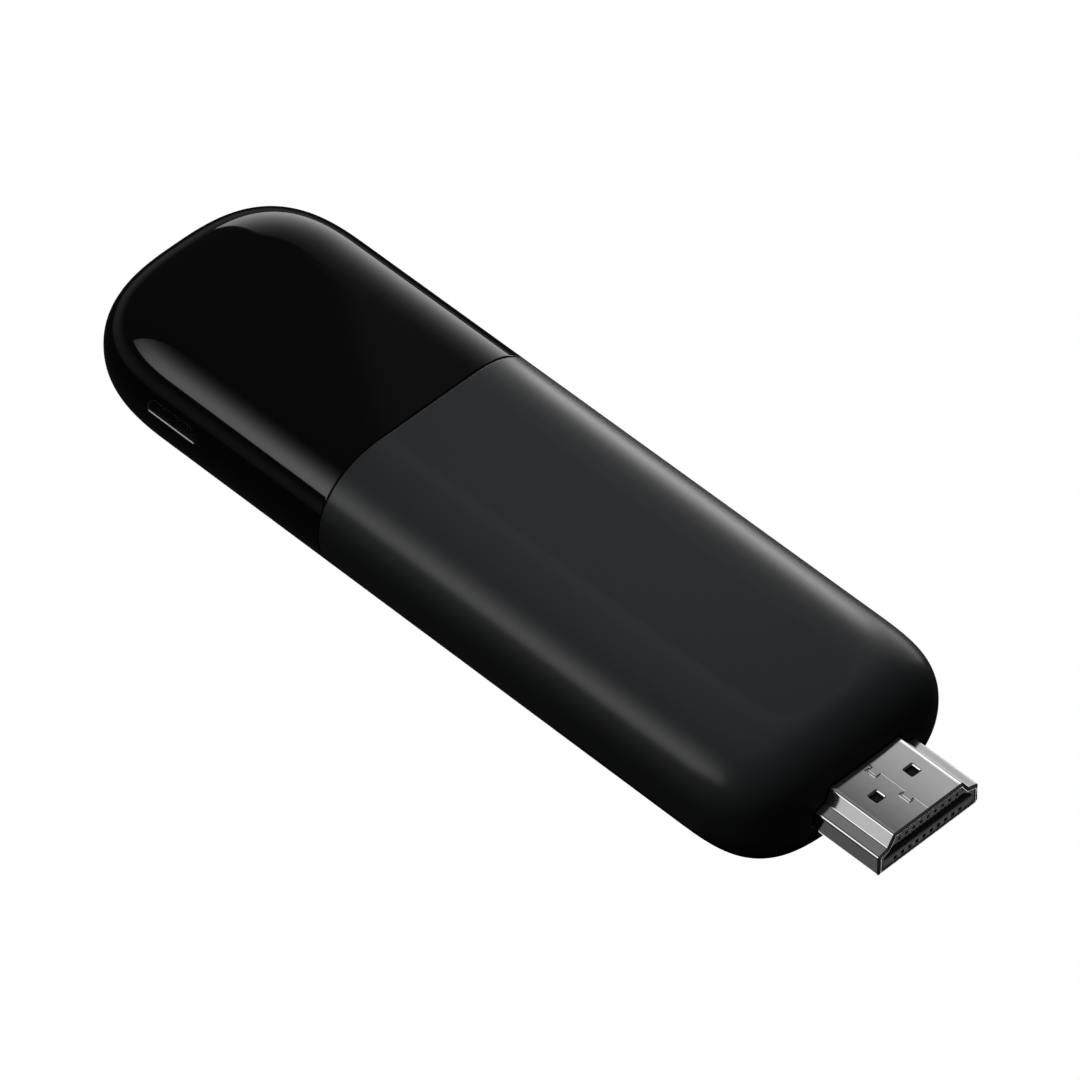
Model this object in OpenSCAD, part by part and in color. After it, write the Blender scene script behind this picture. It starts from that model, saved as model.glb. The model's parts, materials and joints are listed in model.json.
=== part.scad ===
/* [Overall size] */
// Length from the rear end to the tip of the plug
overall_l = 106.8; // [104:0.1:112]
// Width of the body
body_w = 30; // [29.6:0.1:32]
// Thickness of the body
body_t = 15.4; // [15.2:0.1:17]
// How far the plug's tip stands out of the nose
plug_out = 8.2; // [7.6:0.1:9]

/* [Body form] */
// Distance from the nose to the girth seam
seam_from_nose = 60.9; // [58:0.1:63]
// Depth of the rounded nose in plan
nose_r = 12.6; // [11:0.1:14]
// Exponent of the nose's plan curve
nose_n = 3.55; // [2.6:0.05:4]
// Depth of the rounded rear end in plan
rear_r = 15; // [13:0.1:16]
// Exponent of the rear end's plan curve
rear_n = 2.83; // [2.4:0.05:3.2]
// How far the rounded side edge reaches in over the flat faces
edge_in = 8.5; // [7:0.1:9.5]
// How far the rounded nose edge reaches in over the flat faces
nose_in = 5.5; // [4.5:0.1:7]
// Exponent of the side section
edge_n = 2.18; // [2:0.02:2.5]

/* [Casing] */
// Thickness of the casing walls
wall = 1.6; // [1.5:0.1:1.7]
// Length of the rear cap's tongue inside the sleeve
tongue_l = 3; // [2.4:0.1:4]
// Depth of the sleeve's rebate, measured from the outside
rebate = 0.9; // [0.8:0.05:1]

/* [Video plug] */
// Height of the plug's middle above the body's middle
plug_up = 0.47; // [0.4:0.01:0.5]
// Width of the plug's wide side
plug_w = 13.9; // [13.8:0.05:14]
// Height of the plug
plug_h = 4.45; // [4.4:0.05:4.5]
// Thickness of the plug's sheet metal
plug_sheet = 0.3; // [0.25:0.01:0.35]
// Pitch of the contacts in a row
contact_pitch = 1; // [0.95:0.01:1.05]

/* [Power socket] */
// Distance from the nose to the socket's middle
socket_from_nose = 82.1; // [80:0.1:84]
// Width of the socket's mouth
socket_w = 6.9; // [6.8:0.05:7]
// Height of the socket's mouth
socket_h = 1.85; // [1.8:0.05:1.9]
// Height of the mouth's middle above the body's middle
socket_up = 0.93; // [0.9:0.01:0.96]
// Thickness of the socket's sheet metal
socket_sheet = 0.25; // [0.2:0.01:0.28]

/* [Board] */
// Thickness of the circuit board
board_t = 1; // [0.9:0.05:1]
// Width of the circuit board
board_w = 23.8; // [23:0.1:24]

/* [Hidden] */
$fn = 48;

// Main stations along X and heights along Z
tip_x = overall_l / 2;
rear_x = -overall_l / 2;
nose_x = tip_x - plug_out;
seam_x = nose_x - seam_from_nose;
mid_z = body_t / 2;
plug_z = mid_z + plug_up;
board_z = plug_z - board_t / 2;
board_top = board_z + board_t;
past = 1;
ring_step = 10;

// Board outline
board_front = tip_x - 15.2;
board_back = rear_x + 6.4;
board_corner = 4;

// Plug profile, measured from its wide face
plug_side_h = 2.66;
plug_ledge_h = 3.07;
plug_ledge_w = 11.3;
plug_narrow_w = 9.54;
plug_back = tip_x - 15;
plug_gap = 0.15;
insert_gap = 0.05;
insert_front = tip_x - 0.1;
slot_w = 12;
slot_h = 1.2;
slot_deep = 8.5;
wide_count = 10;
narrow_count = 9;
contact_w = 0.3;
contact_t = 0.2;
window_size = 1.4;
window_from_tip = 4.7;
window_y = 2.55;

// Socket
socket_x = nose_x - socket_from_nose;
socket_z = mid_z + socket_up;
socket_mouth = -body_w / 2 + wall + 0.1;
socket_deep = 5.3;
socket_notch_w = 8;
socket_window_gap = 0.05;
strip_count = 5;
strip_pitch = 0.65;
strip_w = 0.3;
strip_t = 0.15;
strip_z = socket_z - 0.17;
strip_places = [for (i = [0 : strip_count - 1]) socket_x + (i - (strip_count - 1) / 2) * strip_pitch];

// Tray
rail_in = 9.4;
rail_out = 11.4;
tray_z = mid_z - 4.1;
tray_front = tip_x - 16.4;
tray_back = rear_x + 11.4;
post_r = 1.8;
screw_r = 0.65;
screw_play = 0.02;
screw_hole_r = 0.85;
screw_head_r = 1.3;
screw_head_h = 0.7;
screw_l = 3.4;
screw_front = tip_x - 19.4;
screw_back = -26;
screw_y = 9.7;

// Shields, pads and heat spreaders
shield_x = 14.5;
shield_l = 31;
shield_w = 18.4;
shield_h = 1.7;
shield_t = 0.2;
spreader_t = 0.8;
spreader_w = 14.4;
spreader_l = 44;
spreader_x = 10;
spreader_top = body_t - wall - 0.1;
lower_spreader_z = tray_z + 0.6;
lower_spreader_w = 17.6;
bottom_shield_h = 1.9;

// Ready-made colours of the pieces
matte_black = [0.16, 0.165, 0.17];
gloss_black = [0.03, 0.032, 0.035];
steel = [0.45, 0.45, 0.46];
gold = [0.83, 0.66, 0.3];
chip_black = [0.1, 0.1, 0.11];
tin = [0.72, 0.73, 0.75];
pad_grey = [0.5, 0.55, 0.6];

// ---- Shape helpers -------------------------------------------------------

// A block between two values on each axis
module block(x, y, z) {
    translate([x[0], y[0], z[0]]) cube([x[1] - x[0], y[1] - y[0], z[1] - z[0]]);
}

// A plate centred on x and y that stands on the height z
module plate(x, y, z, size) {
    translate([x - size[0] / 2, y - size[1] / 2, z]) cube(size);
}

// Extrudes a [y, z] outline from x0 to x1
module along_x(x0, x1) {
    translate([x0, 0, 0]) rotate([90, 0, 90]) linear_extrude(x1 - x0) children();
}

// Extrudes an [x, z] outline from y0 to y1
module along_y(y0, y1) {
    translate([0, y1, 0]) rotate([90, 0, 0]) linear_extrude(y1 - y0) children();
}

// A rectangle with rounded corners, centred on the origin
module rounded_rectangle(l, w, r) {
    square([l - 2 * r, w], center = true);
    square([l, w - 2 * r], center = true);
    for (x = [-1, 1], y = [-1, 1]) translate([x * (l / 2 - r), y * (w / 2 - r)]) circle(r);
}

// ---- Form of the body ----------------------------------------------------
// The side section is a superellipse from the middle height up to the flat
// faces. The angle f runs from -90 at the underside to 90 at the top, and g
// is how far the surface lies inside the outer skin.

function power(v, p) = sign(v) * pow(abs(v), p);
function inset(f) = 1 - pow(cos(f), 2 / edge_n);
function height(f, g) = mid_z + (body_t / 2 - g) * power(sin(f), 2 / edge_n);
function half_width(f, g) = body_w / 2 - g - (edge_in - g) * inset(f);

// Half section from the underside to the top, on the side given by s
function section_side(g, s) = [
    for (f = [-90 : ring_step : 90]) [s * half_width(f * -s, g), height(f * -s, g)]
];

// Full section of the straight stretch of the body, as [y, z] points
function section(g) = concat(section_side(g, -1), section_side(g, 1));

// One level ring of an end: a superellipse in plan, closed across the body at
// open_x. end is 1 for the nose and -1 for the rear end.
function end_ring(f, g, open_x, end) =
    let (
        deep = end > 0 ? nose_r : rear_r,
        tip_in = end > 0 ? nose_in : edge_in,
        n = end > 0 ? nose_n : rear_n,
        middle_x = end > 0 ? nose_x - nose_r : rear_x + rear_r,
        z = height(f, g),
        w = half_width(f, g),
        l = deep - g - (tip_in - g) * inset(f)
    )
    concat(
        [[open_x, -end * w, z]],
        [for (t = [-90 : ring_step : 90])
            [middle_x + end * l * power(cos(t), 2 / n), end * w * power(sin(t), 2 / n), z]],
        [[open_x, end * w, z]]
    );

// Solid end of the body: level rings stacked from the underside to the top
module end_solid(g, open_x, end) {
    rings = [for (f = [-90 : ring_step : 90]) end_ring(f, g, open_x, end)];
    n = len(rings[0]);
    last = len(rings) - 1;
    sides = [
        for (i = [0 : last - 1], j = [0 : n - 1])
            let (a = i * n + j, b = i * n + (j + 1) % n)
            each [[a, a + n, b + n], [a, b + n, b]]
    ];
    underside = [for (j = [0 : n - 1]) j];
    top = [for (j = [n - 1 : -1 : 0]) last * n + j];
    polyhedron(points = [for (r = rings) each r], faces = concat([underside], sides, [top]));
}

// ---- Outlines of the plug and the socket ---------------------------------

// Outline of the plug, wide side down, grown outwards by g
function plug_outline(g) = [
    [-plug_w / 2 - g, plug_z - plug_h / 2 - g],
    [plug_w / 2 + g, plug_z - plug_h / 2 - g],
    [plug_w / 2 + g, plug_z - plug_h / 2 + plug_side_h + g / 2],
    [plug_ledge_w / 2 + g, plug_z - plug_h / 2 + plug_ledge_h + g / 2],
    [plug_narrow_w / 2 + g, plug_z + plug_h / 2 + g],
    [-plug_narrow_w / 2 - g, plug_z + plug_h / 2 + g],
    [-plug_ledge_w / 2 - g, plug_z - plug_h / 2 + plug_ledge_h + g / 2],
    [-plug_w / 2 - g, plug_z - plug_h / 2 + plug_side_h + g / 2]
];

// Outline of the power socket's mouth, wide side down, grown outwards by g
function socket_outline(g) = [
    [socket_x - socket_w / 2 - g, socket_z - socket_h / 2 - g],
    [socket_x + socket_w / 2 + g, socket_z - socket_h / 2 - g],
    [socket_x + socket_w / 2 + g, socket_z + 0.1],
    [socket_x + socket_w / 2 + g - 0.8, socket_z + socket_h / 2 + g],
    [socket_x - socket_w / 2 - g + 0.8, socket_z + socket_h / 2 + g],
    [socket_x - socket_w / 2 - g, socket_z + 0.1]
];

// ---- Casing --------------------------------------------------------------

// Matte sleeve: closed nose with the plug's slot, rebate at the open end
module front_sleeve() {
    collar_l = 3.2;
    color(matte_black) difference() {
        union() {
            difference() {
                end_solid(0, seam_x, 1);
                end_solid(wall, seam_x - past, 1);
            }
            along_x(nose_x - wall - collar_l, nose_x - wall + 0.6) polygon(plug_outline(1.3));
        }
        along_x(seam_x - past, seam_x + tongue_l + 0.2) polygon(section(rebate));
        along_x(nose_x - wall - collar_l - past, nose_x + past) polygon(plug_outline(plug_gap));
        snap_beads(rebate - 0.35, rebate + 0.2, 0.1);
    }
}

// Two ridges across the flats of the joint, from depth g0 to depth g1
module snap_beads(g0, g1, play) {
    x0 = seam_x + 1.4 - play;
    x1 = seam_x + 2.1 + play;
    half_l = 5 + play;
    block([x0, x1], [-half_l, half_l], [body_t - g1, body_t - g0]);
    block([x0, x1], [-half_l, half_l], [g0, g1]);
}

// Gloss cap: closed rear end with the socket's window, tongue into the sleeve
module rear_cap() {
    tongue_out = rebate + 0.1;
    tongue_in = wall + 0.1;
    root_l = 1.2;
    pocket_gap = 0.06;
    pocket_in = socket_mouth + 1;
    color(gloss_black) union() {
        difference() {
            end_solid(0, seam_x, -1);
            end_solid(wall, seam_x + past, -1);
            along_y(-body_w / 2 - past, socket_mouth) polygon(socket_outline(socket_window_gap));
            along_y(socket_mouth - pocket_gap, pocket_in) polygon(socket_outline(socket_sheet + pocket_gap));
        }
        difference() {
            union() {
                along_x(seam_x - root_l, seam_x + tongue_l) polygon(section(tongue_out));
                snap_beads(rebate - 0.25, tongue_out + 0.2, 0);
            }
            along_x(seam_x - root_l - past, seam_x + tongue_l + past) polygon(section(tongue_in));
        }
    }
}

// Moulded tray: two rails on bars, with posts for the board's screws
module board_tray() {
    bar_h = 0.6;
    bar_l = 2;
    color(chip_black) difference() {
        union() {
            for (s = [-1, 1]) scale([1, s, 1])
                block([tray_back, tray_front], [rail_in, rail_out], [tray_z, board_z]);
            for (x = [tray_back, spreader_x - spreader_l / 2 + 4, spreader_x + spreader_l / 2 - 6, tray_front - bar_l])
                block([x, x + bar_l], [-rail_in - 0.2, rail_in + 0.2], [tray_z, tray_z + bar_h]);
            for (x = [screw_back, screw_front], s = [-1, 1])
                translate([x, s * screw_y, tray_z]) cylinder(r = post_r, h = board_z - tray_z);
        }
        for (x = [screw_back, screw_front], s = [-1, 1])
            translate([x, s * screw_y, tray_z + bar_h]) cylinder(r = screw_r + screw_play, h = board_z);
        block([socket_x - socket_notch_w / 2 - 0.6, socket_x + socket_notch_w / 2 + 0.6],
            [-rail_out - past, -rail_in + past], [board_z - 0.8, board_z + past]);
    }
}

// ---- Board ---------------------------------------------------------------

// Circuit board with screw holes and a notch for the sunk power socket
module main_board() {
    l = board_front - board_back;
    notch_in = socket_mouth + socket_deep + 0.2;
    color([0.05, 0.2, 0.12]) translate([0, 0, board_z]) linear_extrude(board_t) difference() {
        translate([(board_front + board_back) / 2, 0]) rounded_rectangle(l, board_w, board_corner);
        translate([socket_x - socket_notch_w / 2, -board_w / 2 - past])
            square([socket_notch_w, notch_in + board_w / 2 + past]);
        for (x = [screw_back, screw_front], s = [-1, 1])
            translate([x, s * screw_y]) circle(screw_hole_r);
    }
}

// Four self-tapping screws with cross recesses
module board_screws() {
    cross_w = 0.35;
    cross_l = 1.5;
    cross_h = 0.4;
    color(tin) for (x = [screw_back, screw_front], s = [-1, 1])
        translate([x, s * screw_y, board_top]) difference() {
            union() {
                cylinder(r = screw_head_r, h = screw_head_h);
                translate([0, 0, -screw_l]) cylinder(r = screw_r, h = screw_l + screw_head_h / 2);
            }
            for (turn = [0, 90]) rotate([0, 0, turn])
                translate([-cross_l / 2, -cross_w / 2, screw_head_h - cross_h]) cube([cross_l, cross_w, past]);
        }
}

// ---- Video plug ----------------------------------------------------------

// Sheet-metal shell of the plug with two latch windows in each broad face
module plug_shell() {
    window_x = tip_x - window_from_tip;
    color(steel) difference() {
        along_x(plug_back, tip_x) polygon(plug_outline(0));
        along_x(plug_back - past, tip_x + past) polygon(plug_outline(-plug_sheet));
        for (y = [-window_y, window_y])
            plate(window_x, y, plug_z - plug_h, [window_size, window_size, 2 * plug_h]);
    }
}

// Channels for a row of contacts, between two heights
module contact_channels(count, z) {
    channel_w = contact_w + 0.14;
    for (i = [0 : count - 1])
        plate((plug_back + tip_x) / 2, (i - (count - 1) / 2) * contact_pitch, z[0],
            [tip_x - plug_back + 2 * past, channel_w, z[1] - z[0]]);
}

// Moulded insert: fills the shell, with the slot for the mating tongue
module plug_insulator() {
    channel_play = 0.05;
    color(chip_black) difference() {
        along_x(plug_back, insert_front) polygon(plug_outline(-plug_sheet - insert_gap));
        block([insert_front - slot_deep, tip_x + past], [-slot_w / 2, slot_w / 2],
            [plug_z - slot_h / 2, plug_z + slot_h / 2]);
        contact_channels(wide_count, [board_z - contact_t - channel_play, board_z + channel_play]);
        contact_channels(narrow_count, [board_top - channel_play, board_top + contact_t + channel_play]);
    }
}

// One row of straight contacts whose tails lie on the board
module contact_row(count, z) {
    tail = 2.4;
    for (i = [0 : count - 1])
        block([board_front - tail, insert_front - 1.2],
            [(i - (count - 1) / 2) * contact_pitch - contact_w / 2, (i - (count - 1) / 2) * contact_pitch + contact_w / 2],
            [z, z + contact_t]);
}

// Row of contacts in the wide side of the plug
module plug_contacts_wide() {
    color(gold) contact_row(wide_count, board_z - contact_t);
}

// Row of contacts in the narrow side of the plug
module plug_contacts_narrow() {
    color(gold) contact_row(narrow_count, board_top);
}

// Metal strap over the plug's rear end, standing on the board
module plug_bracket() {
    bracket_t = 0.3;
    bracket_back = board_front - 2.7;
    bracket_front = nose_x - wall - 3.4;
    half_in = plug_w / 2 + 0.02;
    top = plug_z + plug_h / 2;
    color(tin) union() {
        block([bracket_back, bracket_front], [-half_in - bracket_t, half_in + bracket_t], [top, top + bracket_t]);
        for (s = [-1, 1]) scale([1, s, 1])
            block([bracket_back, bracket_front], [half_in, half_in + bracket_t], [board_top, top + bracket_t]);
    }
}

// ---- Power socket --------------------------------------------------------

// Metal shell of the socket, closed at the back, with ears on the board
module socket_shell() {
    back = socket_mouth + socket_deep;
    ear_out = socket_notch_w / 2 + 1;
    color(steel) union() {
        difference() {
            along_y(socket_mouth, back) polygon(socket_outline(socket_sheet));
            along_y(socket_mouth - past, back - socket_sheet) polygon(socket_outline(0));
            block([socket_x - 2, socket_x + 2], [back - 2 * socket_sheet, back + past],
                [board_z - past, board_top + 0.25]);
        }
        for (s = [-1, 1]) translate([socket_x, 0, 0]) scale([s, 1, 1])
            block([socket_w / 2 + 0.04, ear_out], [socket_mouth + 1.6, socket_mouth + 4.2],
                [board_top, board_top + socket_sheet]);
    }
}

// Moulded block and tongue of the socket
module socket_tongue() {
    back = socket_mouth + socket_deep - socket_sheet - insert_gap;
    base_t = 1;
    color(chip_black) difference() {
        union() {
            along_y(back - base_t, back) polygon(socket_outline(-insert_gap));
            block([socket_x - 1.9, socket_x + 1.9], [socket_mouth + 0.8, back - base_t / 2],
                [strip_z + strip_t, strip_z + strip_t + 0.6]);
        }
        for (x = strip_places)
            block([x - strip_w / 2 - 0.04, x + strip_w / 2 + 0.04], [back - base_t - 0.01, back + past],
                [strip_z - 0.04, board_top + strip_t + 0.04]);
    }
}

// Five contacts: each runs under the tongue, steps up and lies on the board
module socket_contacts() {
    front = socket_mouth + 1.1;
    step = socket_mouth + socket_deep - 0.6;
    tail = socket_mouth + socket_deep + 1;
    color(gold) for (x = strip_places)
        along_x(x - strip_w / 2, x + strip_w / 2) polygon([
            [front, strip_z], [step, strip_z], [step, board_top], [tail, board_top],
            [tail, board_top + strip_t], [step - strip_t, board_top + strip_t],
            [step - strip_t, strip_z + strip_t], [front, strip_z + strip_t]
        ]);
}

// ---- Parts on the board --------------------------------------------------

// A chip package: a block with a small dimple at its first corner
module chip(x, y, z, size) {
    dimple_r = 0.3;
    difference() {
        plate(x, y, z, size);
        translate([x - size[0] / 2 + 0.8, y - size[1] / 2 + 0.8, z + size[2] - 0.05]) cylinder(r = dimple_r, h = past);
    }
}

// Processor under the main shield
module main_processor() {
    color(chip_black) chip(8, 0, board_top, [14, 14, 1.2]);
}

// Two memory chips beside the processor
module memory_chips() {
    color(chip_black) for (y = [-4.4, 4.4]) chip(22.5, y, board_top, [10, 7.6, 1]);
}

// Flash storage chip on the underside
module flash_chip() {
    color(chip_black) plate(8, 0, board_z - 1, [13, 11.5, 1]);
}

// Power controller chip
module power_controller() {
    color(chip_black) chip(-7, 3, board_top, [5, 5, 0.8]);
}

// Moulded inductors of the power supply
module power_inductors() {
    color([0.3, 0.3, 0.31]) for (p = [[-14.5, 5], [-14.5, 0.5], [-14.5, -4], [-7, -4.5]])
        translate([p[0], p[1], board_top]) linear_extrude(1.4) rounded_rectangle(3, 3, 0.4);
}

// Metal-lidded crystals
module clock_crystals() {
    color(tin) for (p = [[-3.6, -1.2], [-33.5, 4.5]])
        translate([p[0], p[1], board_top]) linear_extrude(0.8) rounded_rectangle(2.5, 3.2, 0.3);
}

// A two-terminal chip part with metal end caps standing a little proud
module terminal_chip(x, y, z, size) {
    cap_l = size[0] / 4;
    union() {
        plate(x, y, z + 0.02, [size[0] - 0.1, size[1] - 0.06, size[2] - 0.04]);
        for (s = [-1, 1]) plate(x + s * (size[0] - cap_l) / 2, y, z, [cap_l, size[1], size[2]]);
    }
}

// Capacitors on the top side of the board
module top_capacitors() {
    color([0.62, 0.5, 0.36]) {
        for (x = [-38 : 3 : -32], y = [7.4, 8.9]) terminal_chip(x, y, board_top, [1, 0.5, 0.5]);
        for (y = [-8 : 2 : 8]) terminal_chip(-11, y, board_top, [1, 0.5, 0.5]);
        for (x = [1 : 3.5 : 15], y = [-8.1, 8.1]) terminal_chip(x, y, board_top, [1, 0.5, 0.5]);
    }
}

// Capacitors on the underside of the board
module bottom_capacitors() {
    color([0.62, 0.5, 0.36]) for (x = [-28 : 4 : -8], y = [-5, 0, 5])
        terminal_chip(x, y, board_z - 0.5, [1, 0.5, 0.5]);
}

// Resistors on the top side of the board
module chip_resistors() {
    color(chip_black) {
        for (y = [-5 : 2 : 5]) terminal_chip(-38.5, y, board_top, [1, 0.5, 0.35]);
        for (y = [-7.5 : 1.5 : 7.5]) terminal_chip(31.9, y, board_top, [1, 0.5, 0.35]);
    }
}

// Surge protection chips between the plug and the processor
module surge_protectors() {
    color(chip_black) for (y = [-5.1, -1.7, 1.7, 5.1]) plate(34, y, board_top, [1, 2.5, 0.6]);
}

// Wireless chip
module wireless_chip() {
    color(chip_black) chip(-24, 0, board_top, [7, 7, 0.9]);
}

// A pressed cover, open underneath
module cover(x, y, z, size, sheet) {
    difference() {
        plate(x, y, z, size);
        plate(x, y, z - past, [size[0] - 2 * sheet, size[1] - 2 * sheet, size[2] + past - sheet]);
    }
}

// Shield over the wireless chip
module wireless_shield() {
    color(tin) cover(-24, 0, board_top, [12, 13.4, 1.7], shield_t);
}

// Wall around the processor and memory, soldered to the board
module shield_fence() {
    rim = 0.8;
    color(tin) difference() {
        plate(shield_x, 0, board_top, [shield_l, shield_w, shield_h]);
        plate(shield_x, 0, board_top - past, [shield_l - 2 * shield_t, shield_w - 2 * shield_t, shield_h + past - shield_t]);
        plate(shield_x, 0, board_top, [shield_l - 2 * rim, shield_w - 2 * rim, shield_h + past]);
    }
}

// Lid clipped over the wall
module shield_lid() {
    play = 0.03;
    skirt = 1.1;
    size = [shield_l + 2 * (play + shield_t), shield_w + 2 * (play + shield_t), skirt + shield_t];
    color(tin) difference() {
        plate(shield_x, 0, board_top + shield_h - skirt, size);
        plate(shield_x, 0, board_top + shield_h - skirt - past, [shield_l + 2 * play, shield_w + 2 * play, skirt + past]);
    }
}

// Shield over the underside of the board
module bottom_shield() {
    color(tin) mirror([0, 0, 1]) cover(10, 0, -board_z, [22, 17, bottom_shield_h], shield_t);
}

// Soft pad between the processor and the lid
module processor_pad() {
    color(pad_grey) plate(8, 0, board_top + 1.2, [12, 12, shield_h - 1.2]);
}

// Soft pad between the lid and the upper heat spreader
module lid_pad() {
    z = board_top + shield_h + shield_t;
    color(pad_grey) plate(10, 0, z, [24, 12, spreader_top - spreader_t - z]);
}

// Soft pad between the bottom shield and the lower heat spreader
module bottom_pad() {
    z = lower_spreader_z + spreader_t;
    color(pad_grey) plate(10, 0, z, [18, 12, board_z - bottom_shield_h - z]);
}

// Aluminium plate under the roof of the sleeve
module upper_heat_spreader() {
    color(tin) translate([spreader_x, 0, spreader_top - spreader_t])
        linear_extrude(spreader_t) rounded_rectangle(spreader_l, spreader_w, 1.5);
}

// Aluminium plate on the bars of the tray
module lower_heat_spreader() {
    color(tin) translate([spreader_x, 0, lower_spreader_z])
        linear_extrude(spreader_t) rounded_rectangle(spreader_l, lower_spreader_w, 1.5);
}

// Bent sheet antenna: foot, leg and slotted roof, between two widths
module antenna(y) {
    sheet = 0.2;
    back = board_back + 1.6;
    foot_l = 1.2;
    leg_h = 2.6;
    roof_l = 4;
    slit_w = 0.5;
    color(gold) difference() {
        along_y(y[0], y[1]) polygon([
            [back, board_top], [back + foot_l, board_top], [back + foot_l, board_top + sheet],
            [back + sheet, board_top + sheet], [back + sheet, board_top + leg_h - sheet],
            [back + roof_l, board_top + leg_h - sheet], [back + roof_l, board_top + leg_h],
            [back, board_top + leg_h]
        ]);
        block([back + 1, back + roof_l + past], [(y[0] + y[1] - slit_w) / 2, (y[0] + y[1] + slit_w) / 2],
            [board_top + 1, board_top + leg_h + past]);
    }
}

// Antenna on the side away from the socket
module left_antenna() {
    antenna([2, 7.6]);
}

// Antenna on the socket's side
module right_antenna() {
    antenna([-6.6, -1]);
}

front_sleeve();
rear_cap();
board_tray();
main_board();
board_screws();
plug_shell();
plug_insulator();
plug_contacts_wide();
plug_contacts_narrow();
plug_bracket();
socket_shell();
socket_tongue();
socket_contacts();
main_processor();
memory_chips();
flash_chip();
power_controller();
power_inductors();
clock_crystals();
top_capacitors();
bottom_capacitors();
chip_resistors();
surge_protectors();
wireless_chip();
wireless_shield();
shield_fence();
shield_lid();
bottom_shield();
processor_pad();
lid_pad();
bottom_pad();
upper_heat_spreader();
lower_heat_spreader();
left_antenna();
right_antenna();
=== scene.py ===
"""Looks of a streaming media player: a stick with a video plug on its nose and a power inlet in its side."""

import json
import logging
import math
from dataclasses import dataclass, field
from enum import Enum
from typing import Callable, Sequence

import bmesh
import bpy
import numpy as np
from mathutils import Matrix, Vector
from mathutils.geometry import delaunay_2d_cdt

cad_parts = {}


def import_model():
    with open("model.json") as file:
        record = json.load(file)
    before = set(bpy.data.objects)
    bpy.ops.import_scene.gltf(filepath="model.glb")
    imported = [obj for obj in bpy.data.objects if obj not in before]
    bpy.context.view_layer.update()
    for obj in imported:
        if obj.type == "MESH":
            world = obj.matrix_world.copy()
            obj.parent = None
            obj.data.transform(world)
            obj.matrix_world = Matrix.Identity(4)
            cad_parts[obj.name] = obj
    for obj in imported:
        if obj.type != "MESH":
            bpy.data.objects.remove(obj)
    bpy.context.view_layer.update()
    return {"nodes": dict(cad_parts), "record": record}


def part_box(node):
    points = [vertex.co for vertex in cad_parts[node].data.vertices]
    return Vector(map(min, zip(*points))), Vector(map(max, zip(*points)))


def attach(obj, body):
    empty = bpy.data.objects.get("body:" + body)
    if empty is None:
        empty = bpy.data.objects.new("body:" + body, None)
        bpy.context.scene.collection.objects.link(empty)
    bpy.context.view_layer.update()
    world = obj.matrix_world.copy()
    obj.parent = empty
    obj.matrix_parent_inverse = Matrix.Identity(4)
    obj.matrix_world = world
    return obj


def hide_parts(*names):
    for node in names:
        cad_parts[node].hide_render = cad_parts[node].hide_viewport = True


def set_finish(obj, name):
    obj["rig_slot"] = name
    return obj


LOG = logging.getLogger("streaming_media_player")
MM = 0.001
QUARTER = math.pi / 2
WELD = 1e-7
BODY = "root"
CREASE = math.radians(38)
FOLD_CREASE = math.radians(35)
BOX_SPACING = 0.4
FACE_SPACING = 0.5
CLEAR_OF_EDGES = 0.45
CLEAR_OF_BORDER = 0.2
NOSE_DEEP = 12.6
REAR_DEEP = 15.0
WALL = 1.6
GAP = 0.04
CASING_CREASE = math.radians(50)
PLUG_LOW_Z = 5.945
SLOT_CEILING = 2.86
INLET_X = -36.9
INLET_Z = 8.63

Array = np.ndarray
Object = bpy.types.Object
Settings = dict[object, object]
Color = tuple[float, float, float]
Steps = tuple[tuple[float, float], ...]


# ---------------- meshes


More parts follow.
